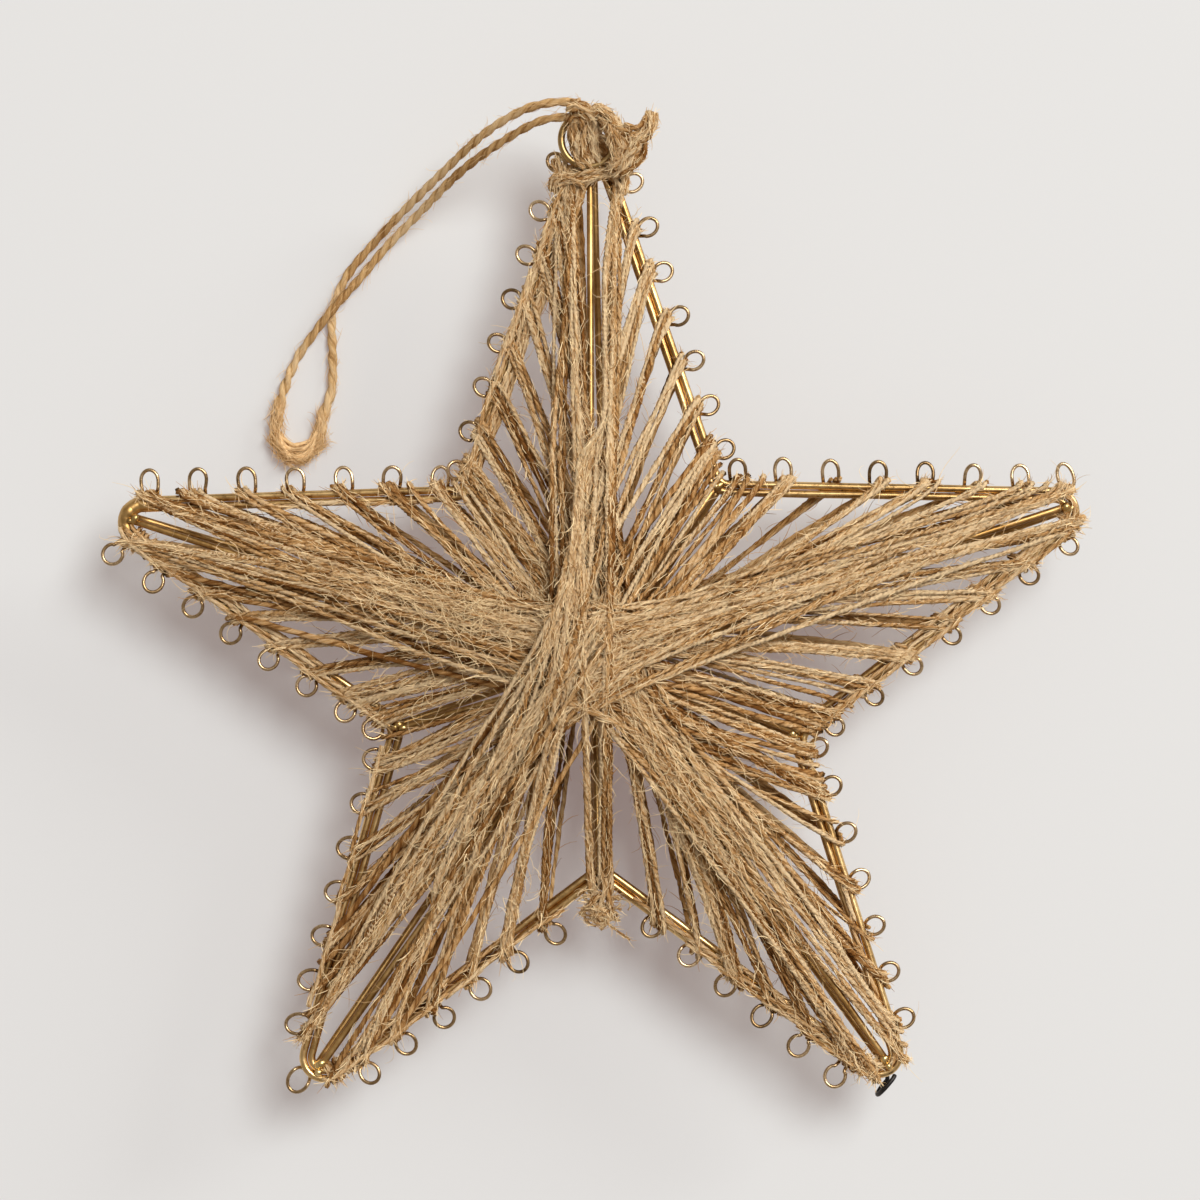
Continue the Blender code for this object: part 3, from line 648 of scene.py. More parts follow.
def metal_material(name, dark, mid, light, rough, spots=0.5, bump=0.3):
    m = Nodes(name)
    place = m.tree.nodes.new("ShaderNodeTexCoord").outputs["Object"]
    broad = m.noise(place, 90.0, 3.0, 0.55)
    fine = m.noise(place, 900.0, 4.0, 0.6)
    pits = m.noise(place, 420.0, 2.0, 0.5)
    value = m.maths("ADD", m.maths("MULTIPLY", broad, 0.7), m.maths("MULTIPLY", fine, 0.3))
    colour = m.ramp(value, ((0.34, dark), (0.5, mid), (0.66, light)))
    worn = m.ramp(pits, ((0.60, (0, 0, 0)), (0.72, (1, 1, 1))))
    worn = m.maths("MULTIPLY", worn, spots)
    colour = m.mix(worn, colour, tuple(c * 0.4 for c in dark))
    m.link(colour, m.shader.inputs["Base Color"])
    m.shader.inputs["Metallic"].default_value = 1.0
    r = m.maths("ADD", rough, m.maths("MULTIPLY", m.maths("SUBTRACT", fine, 0.5), 0.25))
    r = m.maths("ADD", r, m.maths("MULTIPLY", worn, 0.3), clamp=True)
    m.link(r, m.shader.inputs["Roughness"])
    m.bump(fine, bump, 0.00010)
    return m.mat


JUTE = twine_material("jute", (0.265, 0.104, 0.022), (0.77, 0.44, 0.170), (1.0, 0.75, 0.45))
JUTE_BACK = twine_material("jute_shaded", (0.34, 0.140, 0.030), (0.74, 0.415, 0.150), (0.95, 0.65, 0.33))
CORD_TAN = twine_material("cord_tan", (0.40, 0.20, 0.065), (0.76, 0.47, 0.20), (0.96, 0.68, 0.37))
HAIR = hair_material("jute_hair", (0.42, 0.20, 0.055), (1.0, 0.79, 0.47))
HAIR_BACK = hair_material("jute_hair_shaded", (0.36, 0.16, 0.04), (0.88, 0.58, 0.26))
CORD_HAIR = hair_material("cord_hair", (0.62, 0.36, 0.14), (0.98, 0.72, 0.40))
BRASS = metal_material("worn_brass", (0.33, 0.185, 0.06), (0.62, 0.40, 0.165), (0.84, 0.60, 0.29), 0.30, 0.12, 0.06)
RIB_BRASS = metal_material("rib_brass", (0.30, 0.160, 0.045), (0.54, 0.33, 0.12), (0.74, 0.50, 0.21), 0.42, 0.15, 0.08)
LOOP_BRASS = metal_material("loop_brass", (0.14, 0.080, 0.032), (0.40, 0.265, 0.13), (0.72, 0.54, 0.33), 0.28, 0.3)
RING_BRASS = metal_material("ring_brass", (0.22, 0.130, 0.045), (0.46, 0.305, 0.125), (0.74, 0.56, 0.30), 0.34, 0.3)
WELD = metal_material("weld_brass", (0.22, 0.12, 0.035), (0.60, 0.40, 0.15), (0.95, 0.74, 0.36), 0.30, 0.8, 0.8)
# near black: painted shade for the loop that stands on edge at the lower right tip
SHADE_PAINTED_WIRE = metal_material("painted_shade_wire", (0.012, 0.011, 0.012), (0.03, 0.028, 0.028), (0.10, 0.09, 0.08), 0.45, 0.5)


def up3(p, z):
    return np.array((p.x, p.y, OUTLINE_Z + z))


def seen(route):
    """Points whose x and y are as the camera sees them in the outline's plane."""
    out = []
    for x, y, z in route:
        f = (EYE[2] - z) / EYE[2]
        out.append((EYE[0] + (x - EYE[0]) * f, EYE[1] + (y - EYE[1]) * f, OUTLINE_Z + z))
    return np.array(out)


def finish_piece(obj, slot, *nodes):
    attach(obj, "root")
    if nodes:
        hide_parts(*nodes)
    return obj


ARMS = ("top", "left", "lower_left", "lower_right", "right")
VALLEYS = ("upper_left", "left", "bottom", "right", "upper_right")

# ------------------------------------------------------------ camera and cord
camera = bpy.data.cameras.new("camera")
camera.lens = 132.6
camera.sensor_width = 36.0
camera.clip_start = 0.05
camera.clip_end = 20.0
eye = bpy.data.objects.new("camera", camera)
eye.location = (EYE[0] * MM, EYE[1] * MM, (OUTLINE_Z + EYE[2]) * MM)
bpy.context.scene.collection.objects.link(eye)
bpy.context.scene.camera = eye

rng = random.Random(11)
cord_pts = even(CORD_ROUTE, 0.5)
cord_len = length_of(cord_pts)
cord_u = np.linspace(0, 1, len(cord_pts))
# the cord is worn open and thicker round its lower bend
bend_at = float(np.argmin(np.linalg.norm(cord_pts - np.array((-64.5, 43.4, 0.95)), axis=1))) / len(cord_pts)
open_leg = np.exp(-(((cord_u - bend_at - 0.045) / 0.05) ** 2))
bushy = np.exp(-(((cord_u - bend_at) / 0.040) ** 2))
full_leg = np.exp(-(((cord_u - bend_at + 0.05) / 0.035) ** 2))
cord_rad = CORD_RADIUS * (1.12 + wave(rng, cord_len, 5, 0.07)(cord_u) + 0.34 * open_leg + 0.55 * bushy + 0.35 * full_leg)
cord_ply = 0.74 - 0.20 * open_leg
cord_pts[:, 2] = np.maximum(cord_pts[:, 2], cord_rad + 0.03)
cord = Tubes()
cord.add(
    cord_pts, cord_rad, 12, tone=0.5 + wave(rng, cord_len, 9, 0.3)(cord_u), pitch=7.5, phase=0.9, seed=3, ply=cord_ply
)
hanging_loop = finish_piece(cord.object("cord_loop", [CORD_TAN]), "cord_tan", "hanging_loop")

gen = np.random.default_rng(5)
cord_hairs = Tubes()
path, rad, tone, _ = sprout(cord.lines, 420, gen, (1.2, 4.0), (0.035, 0.06), (0.15, 0.7), 0.25, 6, up=0.3, low=0.08)
cord_hairs.add_hairs(path, rad, tone)
near = [(cord_pts[np.abs(cord_u - bend_at) < 0.055], cord_rad[np.abs(cord_u - bend_at) < 0.055])]
path, rad, tone, _ = sprout(near, 420, gen, (1.6, 4.2), (0.045, 0.08), (0.05, 0.45), 0.22, 7, up=0.3, low=0.08)
cord_hairs.add_hairs(path, rad, tone)
# the fibres that fill the bend
for k in range(15):
    out = -1.7 + 0.26 * k
    x0, x1 = -66.6 - 0.25 * out, -58.6 + 0.25 * out
    rise = rng.uniform(0.9, 2.6)
    bow = [
        (x0 + rng.uniform(-0.2, 0.5), 46.6 + rng.uniform(-0.8, 1.2), rise),
        (x0 + 1.6, 44.4 - out * 0.85 + rng.uniform(-0.3, 0.3), rise + 0.2),
        (-62.9 + rng.uniform(-0.4, 0.4), 43.3 - out + rng.uniform(-0.3, 0.3), rise + 0.3),
        (x1 - 1.6, 44.6 - out * 0.85 + rng.uniform(-0.3, 0.3), rise + 0.2),
        (x1 + rng.uniform(-0.5, 0.2), 47.2 + rng.uniform(-0.8, 1.2), rise),
    ]
    bow = even(bow, 0.5)
    fine = 0.42 * (0.5 + 0.5 * np.sin(np.linspace(0.25, math.pi - 0.25, len(bow))))
    bow[:, 2] = np.maximum(bow[:, 2], fine + 0.05)
    cord_hairs.add(bow, fine, 6, tone=0.35 + 0.5 * rng.random(), seed=k)
path, rad, tone, _ = sprout(cord_hairs.lines, 420, gen, (0.8, 2.6), (0.045, 0.08), (0.1, 0.6), 0.35, 6, up=0.4, low=0.08)
cord_hairs.add_hairs(path, rad, 0.4 + 0.6 * tone)
# the tuft under the bend
tuft = [(even([(-61.5, 42.8, 1.2), (-64.0, 42.0, 1.2), (-66.0, 42.2, 1.1)], 0.4), np.full(12, 0.9))]
tuft = [(tuft[0][0], np.full(len(tuft[0][0]), 0.9))]
path, rad, tone, _ = sprout(tuft, 90, gen, (1.2, 2.8), (0.05, 0.08), (0.4, 1.3), 0.30, 7, up=0.0, low=0.08)
cord_hairs.add_hairs(path, rad, tone)
cord_fuzz = finish_piece(cord_hairs.object("cord_fuzz", [CORD_HAIR]), "cord_tan")

# -------------------------------------------------------------- rods and ribs


def outline_line(shift, seed, amount):
    rng = random.Random(seed)
    w1 = wave(rng, OUTLINE.length, 14, amount)
    w2 = wave(rng, OUTLINE.length, 17, amount)
    pts = []
    count = int(OUTLINE.length / 0.9)
    for k in range(count + 1):
        u = k / count
        p, n = OUTLINE.at(u * OUTLINE.length)
        pts.append(up3(p - n * (shift + float(w1(u))), float(w2(u))))
    pts[-1] = pts[0]
    return np.array(pts)


for name, shift, seed in (("outer", 0.0, 5), ("inner", INNER_SHIFT, 6)):
    rod = Tubes()
    rod.add(outline_line(shift, seed, 0.05), ROD_RADIUS, 14, caps=False)
    finish_piece(
        rod.object(f"outline_rod_{name}", [BRASS]), "rod_brass", *[f"{name}_rod_{a}" for a in ARMS]
    )

rng = random.Random(9)
welds = Tubes()
for side, word in ((1, "front"), (-1, "back")):
    ribs = Tubes()
    for kind, angle, start in [("tip", a, r - 2.4) for a, r in zip(TIP_ANGLES, TIP_RADII)] + [
        ("valley", a, r - 1.4) for a, r in zip(VALLEY_ANGLES, VALLEY_RADII)
    ]:
        d = polar(1, angle)
        off = Vector((-d.y, d.x)) * side
        spread = 1.15 if kind == "tip" else 0.95
        a = up3(d * start + off * 0.42, side * 0.78)
        b = up3(d * 1.0 + off * spread * 0.7, side * 13.4)
        u = np.linspace(0, 1, 34)[:, None]
        bow = np.sin(u * math.pi) * 0.25 * side
        line = a * (1 - u) + b * u
        line[:, 2:] += bow
        sideways = np.minimum(1.0, u * 1.6) * (spread - 0.28) - u * (spread * 0.7 - 0.28)
        line[:, :2] += sideways * np.array((off.x, off.y))[None, :] * 0.8
        ribs.add(line, 0.70, 12, seed=int(angle))
        # solder where it meets the rods
        for _ in range(3):
            at = d * (start + rng.uniform(-0.6, 1.4)) + off * rng.uniform(-0.5, 0.9)
            way = d * rng.uniform(0.5, 1.2) + off * rng.uniform(-0.8, 0.8)
            blob = np.array([up3(at - way * (1 - f) + way * f, side * (0.75 + 0.35 * math.sin(f * 3))) for f in np.linspace(0, 1, 9)])
            r = rng.uniform(0.75, 1.1) * np.sqrt(np.maximum(0.02, np.sin(np.linspace(0.05, math.pi - 0.05, 9))))
            welds.add(blob, r, 8, keep=False)
    finish_piece(
        ribs.object(f"{word}_ribs", [RIB_BRASS]),
        "rod_brass",
        *[f"{word}_rib_tip_{a}" for a in ARMS],
        *[f"{word}_rib_valley_{v}" for v in VALLEYS],
    )
finish_piece(welds.object("solder", [WELD]), "rod_brass")

# at the left tip the two rods are run together under one brown skin
skin = Tubes()
tip1 = OUTLINE.corner("tip", 1)
run = []
for k in range(22):
    p, n = OUTLINE.at(tip1 - 8.5 + 12.5 * k / 21)
    run.append(up3(p - n * (INNER_SHIFT / 2), 0.28 + 0.1 * math.sin(k * 1.7)))
run = even(run, 0.57)
u = np.linspace(0, 1, len(run))
skin.add(run, (1.52 + wave(rng, 12.5, 2.5, 0.14)(u)) * (0.74 + 0.26 * np.sqrt(np.sin(math.pi * np.clip(u, 0.02, 0.98)))), 14, keep=False)
finish_piece(skin.object("tip_skin", [RIB_BRASS]), "rod_brass")

# --------------------------------------------------------------- loops of wire


def loop_line(s0, edge, k, rng):
    """The wire's points over one loop, from its one leg to the other."""
    p, n = OUTLINE.at(s0)
    t = Vector((-n.y, n.x))
    half, tall, near, far, lean = LOOP_SHAPES[edge]
    count = EDGE_LOOPS[edge][0]
    reach = near + (far - near) * k / (count - 1) + rng.uniform(-0.15, 0.15)
    b = half * rng.uniform(0.95, 1.05)
    a = tall * rng.uniform(0.96, 1.05)
    lean = math.radians(lean + rng.uniform(-7, 7))
    tilt = math.radians(rng.uniform(-12, 9))
    if k == 0 and EDGE_LOOPS[edge][1] < 7:
        tilt = math.radians(24 if edge % 2 else -9)
    if edge == 9 and k == count - 1:
        # the one by the right tip is tall and leans away from it
        s0 += 1.3
        p, n = OUTLINE.at(s0)
        t = Vector((-n.y, n.x))
        a, b, lean, reach, tilt = 2.8, 1.6, math.radians(34), 6.4, 0.0
    middle = reach - LOOP_WIRE - a
    arch = edge in (2, 9) and not (edge == 9 and k == count - 1)
    pts = []
    for deg in range(-60, 241, 12):
        x = b * math.cos(math.radians(deg))
        y = a * math.sin(math.radians(deg))
        if arch and y < 0:
            x = math.copysign(b * (1.0 - 0.12 * (y / a) ** 2), x)
        # lean about the ellipse's middle
        pts.append((x * math.cos(lean) + y * math.sin(lean), middle + y * math.cos(lean) - x * math.sin(lean)))
    pts = pts[::-1]
    mouth = 1.55 if arch else 0.95
    pts = [(-mouth, 0.2)] + pts + [(mouth, 0.2)]
    out = []
    for x, y in pts:
        z = -1.45 * min(1.0, max(0.0, (2.0 - y) / 1.7))
        q = y - 1.0
        out.append(up3(p + t * x + n * (1.0 + q * math.cos(tilt)), z + q * math.sin(tilt)))
    return out


rng = random.Random(23)
wire = Tubes()
places = loop_places()
tip3 = OUTLINE.corner("tip", 3)
line = []
order = sorted(((s - tip3) % OUTLINE.length, s, e, k) for s, e, k in places)
here = 0.8
for rel, s, edge, k in order:
    for m in range(1, 6):
        q = tip3 + here + (rel - 1.9 - here) * m / 6
        p, n = OUTLINE.at(q)
        line.append(up3(p + n * 0.1, -1.55))
    line += loop_line(s, edge, k, rng)
    here = rel + 1.9
wire.add(even(line, 0.42), LOOP_WIRE, 7, caps=True, keep=False)
finish_piece(wire.object("loop_wire", [LOOP_BRASS]), "loop_brass", *[f"loop_wire_{a}" for a in ARMS])

# the one loop that stands on edge, painted near black: painted shade on a loop seen edge-on
p, n = OUTLINE.at(tip3)
d = polar(1, 232.0)
t = Vector((-n.y, n.x))
pts = [up3(p + n * 0.1 - t * 1.2, -1.5)]
for out, z, x in ((1.9, -1.9, -0.8), (3.8, -2.2, -0.7), (5.6, -1.2, -0.5), (6.1, 0.5, 0.0), (4.6, 1.7, 0.5), (2.7, 1.5, 0.8), (1.6, 0.9, 0.6)):
    pts.append(up3(p + n * 1.0 + d * (out - 1.0) + t * x, z))
end = Tubes()
end.add(even(pts, 0.4), 0.46, 8, keep=False)
finish_piece(end.object("painted_shade_loop", [SHADE_PAINTED_WIRE]), "loop_brass")

# ------------------------------------------------------------------ the ring
ring = Tubes()
turn = np.linspace(0, 2 * math.pi, 73)
flat = np.stack(
    (RING_CENTRE[0] + RING_RADIUS * np.cos(turn), RING_CENTRE[1] + RING_RADIUS * np.sin(turn), np.full(73, OUTLINE_Z + RING_Z)),
    -1,
)
ring.add(flat, 0.74, 14, caps=False, keep=False)
finish_piece(ring.object("top_ring", [RING_BRASS]), "loop_brass", "hanging_ring")

# ------------------------------------------------------------------ the twine
# pegs: where twine turns round the rods, at the tip side of each loop
PEGS = []
for s, edge, k in places:
    shift = 0.3 if edge % 2 == 0 else -0.3
    last = k == EDGE_LOOPS[edge][0] - 1
    PEGS.append((s + shift * (-1.0 if last else 1.0), edge, k))
HALF = len(PEGS) // 2
RANK = {0: 5, 1: 1, 2: 2, 3: 3, 4: 4}


RIB_MARGIN = (2.0, 0.0, 1.8, 1.4, 0.0)  # how far strands keep off each arm's rib
RIB_FREE = (41.0, 99.0, 54.0, 80.0, 99.0)  # and from how far out on the arm


def beside_rib(q, ends):
    """Moves a strand's point so that it stays on its own side of the tip ribs."""
    for arm, sign in ends:
        d = polar(1, TIP_ANGLES[arm])
        e = Vector((-d.y, d.x))
        far, lateral = q.dot(d), q.dot(e) * sign
        f = min(1.0, max(0.0, (far - RIB_FREE[arm]) / 13.0))
        m = RIB_MARGIN[arm] * f * f * (3 - 2 * f)
        if m > 0.01:
            kept = 0.5 * (lateral + m + math.sqrt((lateral - m) ** 2 + 0.6))
            q = q + e * (sign * (kept - lateral) * min(1.0, f * 2))
    return q


TIP_BARE = (0.0, 5.2, 3.0, 3.0, 2.5)  # no strand turns round the rods this near a tip
OUTER_BARE = 8.5  # more on the outer side of the lower left tip


def off_the_tip(s, rng):
    for arm, bare in enumerate(TIP_BARE):
        d = s - OUTLINE.corner("tip", arm)
        d -= OUTLINE.length * round(d / OUTLINE.length)
        if abs(d) < bare:
            s += math.copysign(bare + rng.uniform(0.0, 1.4), d) - d
    d = s - OUTLINE.corner("tip", 2)
    d -= OUTLINE.length * round(d / OUTLINE.length)
    if -OUTER_BARE < d < 0:
        s -= OUTER_BARE + 1.8 * (7.3 * d % 1.0) + d
    return s


def chord(a, b, crest, side, rng, loose, pull, radius):
    """A strand from one place on the rods over the middle to another, with half
    a turn round the rods at both ends."""
    a, b = off_the_tip(a, rng), off_the_tip(b, rng)
    (pa, na), (pb, nb) = OUTLINE.at(a), OUTLINE.at(b)
    over = ROD_RADIUS + radius if side > 0 else 2.2
    reach = ROD_RADIUS + radius
    d = pb - pa
    length = d.length
    u = d / length

    def hook(p, n, outward, spill):
        toward = (outward + n * 0.9).normalized()
        slope = max(0.7, toward.dot(n))
        out = []
        for deg in (-75, -40, -5, 30, 62) if side > 0 else (-8, 10, 28, 45, 62):
            c, s_ = math.cos(math.radians(deg)), math.sin(math.radians(deg))
            out.append(up3(p + toward * ((reach + spill) * c / slope), side * over * s_))
        return out

    ends = []
    for p in (pa, pb):
        for arm, angle in enumerate(TIP_ANGLES):
            axis = polar(1, angle)
            if p.dot(axis) > 52.0:
                lateral = p.x * -axis.y + p.y * axis.x
                ends.append((arm, 1.0 if lateral > 0 else -1.0))
    foot = max(0.15, min(0.85, -(pa.dot(u)) / length))
    nearest = pa + u * (foot * length)
    la, lb = foot * length, (1 - foot) * length
    side_v = Vector((-u.y, u.x))
    count = int(length / 1.6)
    w = wave(rng, length, 26, loose)
    w2 = wave(rng, length, 4.5, 0.10)
    wz = wave(rng, length, 18, 0.22)
    soft = 6.0
    mid = []
    for k in range(1, count):
        f = k / count
        dist = (f - foot) * length
        if min(f, 1 - f) * length < 2.2:
            continue
        q = pa + d * f + side_v * float(w(f) + w2(f)) - nearest * (pull * math.exp(-((dist / 34.0) ** 2)))
        q = beside_rib(q, ends)
        span = lb if dist > 0 else la
        g = (math.sqrt(dist * dist + soft * soft) - soft) / (math.sqrt(span * span + soft * soft) - soft)
        z = over + (crest - over) * (1 - g)
        mid.append(up3(q, side * (z + float(wz(f)))))
    pts = hook(pa, na, -u, rng.uniform(0, 0.4)) + mid + hook(pb, nb, u, rng.uniform(0, 0.4))[::-1]
    return even(pts, 0.97 if side > 0 else 1.6)


rng = random.Random(41)
layers = {"front": [], "back": []}
for side, word in ((1, "front"), (-1, "back")):
    for i in range(HALF):
        j = (i + HALF + (0 if side > 0 else 1)) % len(PEGS)
        edge = PEGS[i][1]
        rank = RANK[edge] if side > 0 else 6 - RANK[edge]
        crest = (19.0 if rank == 5 else 14.8 + 0.74 * rank) if side > 0 else 14.5 + 0.82 * rank
        number = (3 if i % 4 else 4) if side > 0 else 3
        if edge == 4 and side > 0 and i % 2:
            number = 2
        if edge == 1 and side > 0:
            number = 4
        spare = (number - 1) / 2
        for m in range(number):
            off = (m - spare) * 1.02
            other = (j + rng.choice((-1, 0, 0, 1))) % len(PEGS) if side > 0 else j
            a = PEGS[i][0] + off + rng.uniform(-0.4, 0.4)
            b = PEGS[other][0] - off + rng.uniform(-0.4, 0.4)
            r = STRAND_RADIUS * rng.uniform(0.74, 1.22)
            pull = rng.uniform(0.0, 0.6)
            c = min(19.6, crest + rng.uniform(-0.6, 0.6)) if side > 0 else crest + rng.uniform(-0.5, 0.5)
            layers[word].append((chord(a, b, c, side, rng, 0.65, pull, r), r, rank, edge))
# strands from the top tip straight down to the bottom valley
bottom = OUTLINE.corner("valley", 2)
top = OUTLINE.corner("tip", 0)
for a, b, c in (
    (5.2, -2.9, 18.9),
    (6.4, -1.9, 19.0),
    (7.4, -2.2, 18.7),
    (-6.4, -0.4, 18.5),
    (-7.6, 0.4, 18.8),
    (-8.8, 1.3, 18.4),
    (-5.4, 2.0, 17.9),
    (9.0, 2.7, 16.2),
):
    r = STRAND_RADIUS * rng.uniform(0.9, 1.1)
    layers["front"].append((chord(top + a, bottom + b, c, 1, rng, 0.4, 0.0, r), r, 5, 0))
# and along the left and the right arm, over their ribs
for tip, valley, runs in (
    (1, 3, ((0.9, 1.5, 16.8), (3.0, -6.0, 17.0), (5.6, 7.5, 16.6), (8.4, -13.0, 16.9), (-1.2, 4.0, 16.7), (-3.6, -9.0, 17.1), (-6.4, -2.0, 16.5), (-9.0, 11.0, 16.8), (5.4, 14.0, 17.1), (6.2, 18.0, 16.8), (-5.6, -13.0, 17.2), (-6.0, -18.0, 16.9), (5.2, 8.0, 17.3))),
    (4, 1, ((5.4, 6.0, 17.4), (1.2, -3.0, 17.6), (-0.8, 1.6, 17.3), (-3.4, -8.0, 17.6), (-6.4, 9.0, 17.2), (8.2, -12.0, 17.4), (2.8, 9.0, 17.5), (3.4, 13.0, 17.3), (4.4, 16.0, 17.4), (-2.8, -9.0, 17.6), (-3.6, -13.0, 17.3), (-4.6, -6.0, 17.5))),
    (2, -1, ((6.2, 1.2, 16.9), (-6.6, -5.0, 17.2), (-8.2, 6.2, 16.6), (12.5, 9.0, 15.6), (-14.0, -8.0, 15.8))),
    (3, 0, ((6.4, -6.0, 15.9), (-7.0, 5.0, 16.2), (-4.0, 0.8, 15.8), (-3.1, -6.0, 16.3), (3.2, 4.5, 16.0), (3.8, 10.0, 15.7), (3.1, 0.6, 15.9), (-3.1, -1.2, 16.2), (3.6, -3.5, 15.8), (-3.9, 3.6, 16.0))),
):
    for a, b, c in runs:
        r = STRAND_RADIUS * rng.uniform(0.85, 1.1)
        a, b = OUTLINE.corner("tip", tip) + a, OUTLINE.corner("valley", valley) + b
        layers["front"].append((chord(a, b, c, 1, rng, 0.8, 0.0, r), r, 3, 3))
for a, b in ((5.0, -1.2), (-5.0, 0.8)):
    layers["back"].append((chord(top + a, bottom + b, 15.4, -1, rng, 0.3, 0.0, 0.56), 0.56, 1, 1))

tubes = {}
for word in ("front", "back"):
    for n_, (pts, r, rank, edge) in enumerate(layers[word]):
        key = (word, 1 + (n_ % 2 if word == "front" else 0))
        tubes.setdefault(key, Tubes())
        length = length_of(pts)
        u = np.linspace(0, 1, len(pts))
        rad = r * (1 + wave(rng, length, 5, 0.14)(u) + wave(rng, length, 2.2, 0.12)(u))
        # painted light and shade: the higher a strand rises, the lighter its tone; lower strands stay darker
        lift = float(np.clip((pts[:, 2].max() - OUTLINE_Z - 15.0) / 4.4, 0, 1))
        tone = rng.uniform(0.0, 0.82) + 0.30 * lift + wave(rng, length, 18, 0.26)(u)
        if word == "front":
            gone = u * length
            x, y = pts[:, 0], pts[:, 1]
            # painted light and shade: strands on the right arm and the top arm are made lighter and on the lower left
            # arm darker, as the light falls from the upper right
            right = np.clip((x - 14) / 30, 0, 1) * np.clip((y + 4) / 10, 0, 1)
            upper = np.clip((y - 34) / 30, 0, 1) * np.clip(1 - np.abs(x) / 30, 0, 1)
            lower_left = np.clip(-(x + 8) / 24, 0, 1) * np.clip(-(y + 16) / 20, 0, 1)
            tone = tone + 0.17 * right + 0.12 * upper - 0.15 * lower_left
            for end, far in ((pts[0], gone), (pts[-1], length - gone)):
                if end[1] > 24 and abs(end[0]) > 22:
                    tone = tone + 0.34 * np.exp(-((far / 3.4) ** 2))
                    rad = rad * (1 + 0.22 * np.exp(-((far / 2.6) ** 2)))
        tubes[key].add(
            pts, rad, 6 if word == "front" else 5, tone=tone, pitch=rng.uniform(5.4, 7.6),
            phase=rng.uniform(0, 6.28), seed=n_ % 17, ply=rng.uniform(0.76, 0.9),
        )

# darker strands low down, between the others, in the left and the lower left arm; their dark tone is painted shade
rng = random.Random(59)
for tip, valley, runs in (
    (1, 3, ((11.0, 2.0, 15.2), (17.0, -4.0, 14.9), (24.0, 6.0, 15.1), (32.0, -8.0, 14.8), (-14.0, 3.0, 15.3))),
    (2, -1, ((-14.0, -3.0, 15.2), (-19.0, 5.0, 15.0), (-25.0, -8.0, 15.3), (-31.0, 8.0, 14.9), (-38.0, 1.0, 15.1), (13.0, 3.0, 15.2), (21.0, -5.0, 15.0))),
):
    for a, b, c in runs:
        r = STRAND_RADIUS * rng.uniform(0.95, 1.25)
        pts = chord(OUTLINE.corner("tip", tip) + a, OUTLINE.corner("valley", valley) + b, c, 1, rng, 0.8, 0.0, r)
        pts = even(pts[2:-2], 1.6)
        length = length_of(pts)
        u = np.linspace(0, 1, len(pts))
        tubes[("front", 1)].add(
            pts, r * (1 + wave(rng, length, 5, 0.14)(u)), 5, tone=rng.uniform(0.16, 0.40) + wave(rng, length, 18, 0.16)(u),
            pitch=rng.uniform(5.4, 7.6), phase=rng.uniform(0, 6.28), seed=5, ply=rng.uniform(0.76, 0.9), keep=False,
        )

# twine that runs along the rods from peg to peg
along = Tubes()


def along_rods(s_from, s_to, n0, n1, z, rng, wob):
    length = abs(s_to - s_from)
    w = wave(rng, length, 5, wob)
    count = max(4, int(length / 0.9))
    pts = []
    for k in range(count + 1):
        f = k / count
        p, n = OUTLINE.at(s_from + (s_to - s_from) * f)
        pts.append(up3(p + n * (n0 * (1 - f) + n1 * f + float(w(f))), z + 0.25 * math.sin(f * math.pi)))
    return even(pts, 0.85)


rng = random.Random(77)
for edge, runs in (
    (1, ((1, 68, 0.7), (2, 68, -0.5), (3, 68, -1.7), (12, 68, -2.6), (24, 68, 1.2), (36, 68, -3.3))),
    (3, ((1, 67, 0.6), (2, 66, -0.7), (18, 68, -1.9))),
    (4, ((4, 50, 1.2),)),
    (5, ((10, 64, 0.5), (26, 64, -1.4))),
    (6, ((8, 60, -0.4), (22, 62, 0.8), (34, 62, -1.7))),
    (7, ((30, 60, -1.3),)),
    (8, ((3, 66, 0.7), (8, 67, -0.5), (30, 67, -1.8))),
    (2, ((6, 40, -2.0),)),
):
    for d0, d1, n in runs:
        start, sign = OUTLINE.edge_start[edge]
        a, b = start + sign * d0, start + sign * d1
        step = 9.6 * sign
        s, k = a, 0
        while (b - s) * step > 0:
            e = s + step * rng.uniform(0.9, 1.3)
            pts = along_rods(s, e, n + rng.uniform(-0.45, 0.45), n + rng.uniform(-0.45, 0.45), 1.3, rng, 0.25)
            along.add(
                pts, STRAND_RADIUS * rng.uniform(0.8, 1.05), 7, tone=rng.uniform(0.3, 0.85), pitch=8, phase=rng.uniform(0, 6), seed=k % 13
            )
            s = e - step * 0.1
            k += 1

# turns round both rods at the pegs on the right arm's lower edge
for s0, edge, k in PEGS:
    if edge != 8:
        continue
    for _ in range(2):
        at = s0 + rng.uniform(-0.8, 0.8)
        r = STRAND_RADIUS * rng.uniform(0.75, 0.95)
        skew = rng.uniform(1.4, 2.4) * (1 if edge % 2 == 0 else -1)
        turn_ = []
        for q in range(15):
            a = math.radians(-100 + 360 * q / 13)
            p, n = OUTLINE.at(at + skew * math.cos(a) + 0.06 * q)
            half = INNER_SHIFT / 2 + ROD_RADIUS + r * 0.95
            turn_.append(up3(p + n * (-INNER_SHIFT / 2 + half * math.cos(a)), (ROD_RADIUS + r) * math.sin(a)))
        turn_ = even(turn_, 0.8)
        along.add(turn_, r, 6, tone=rng.uniform(0.15, 0.8), pitch=7, phase=rng.uniform(0, 6), seed=k, ply=0.8)

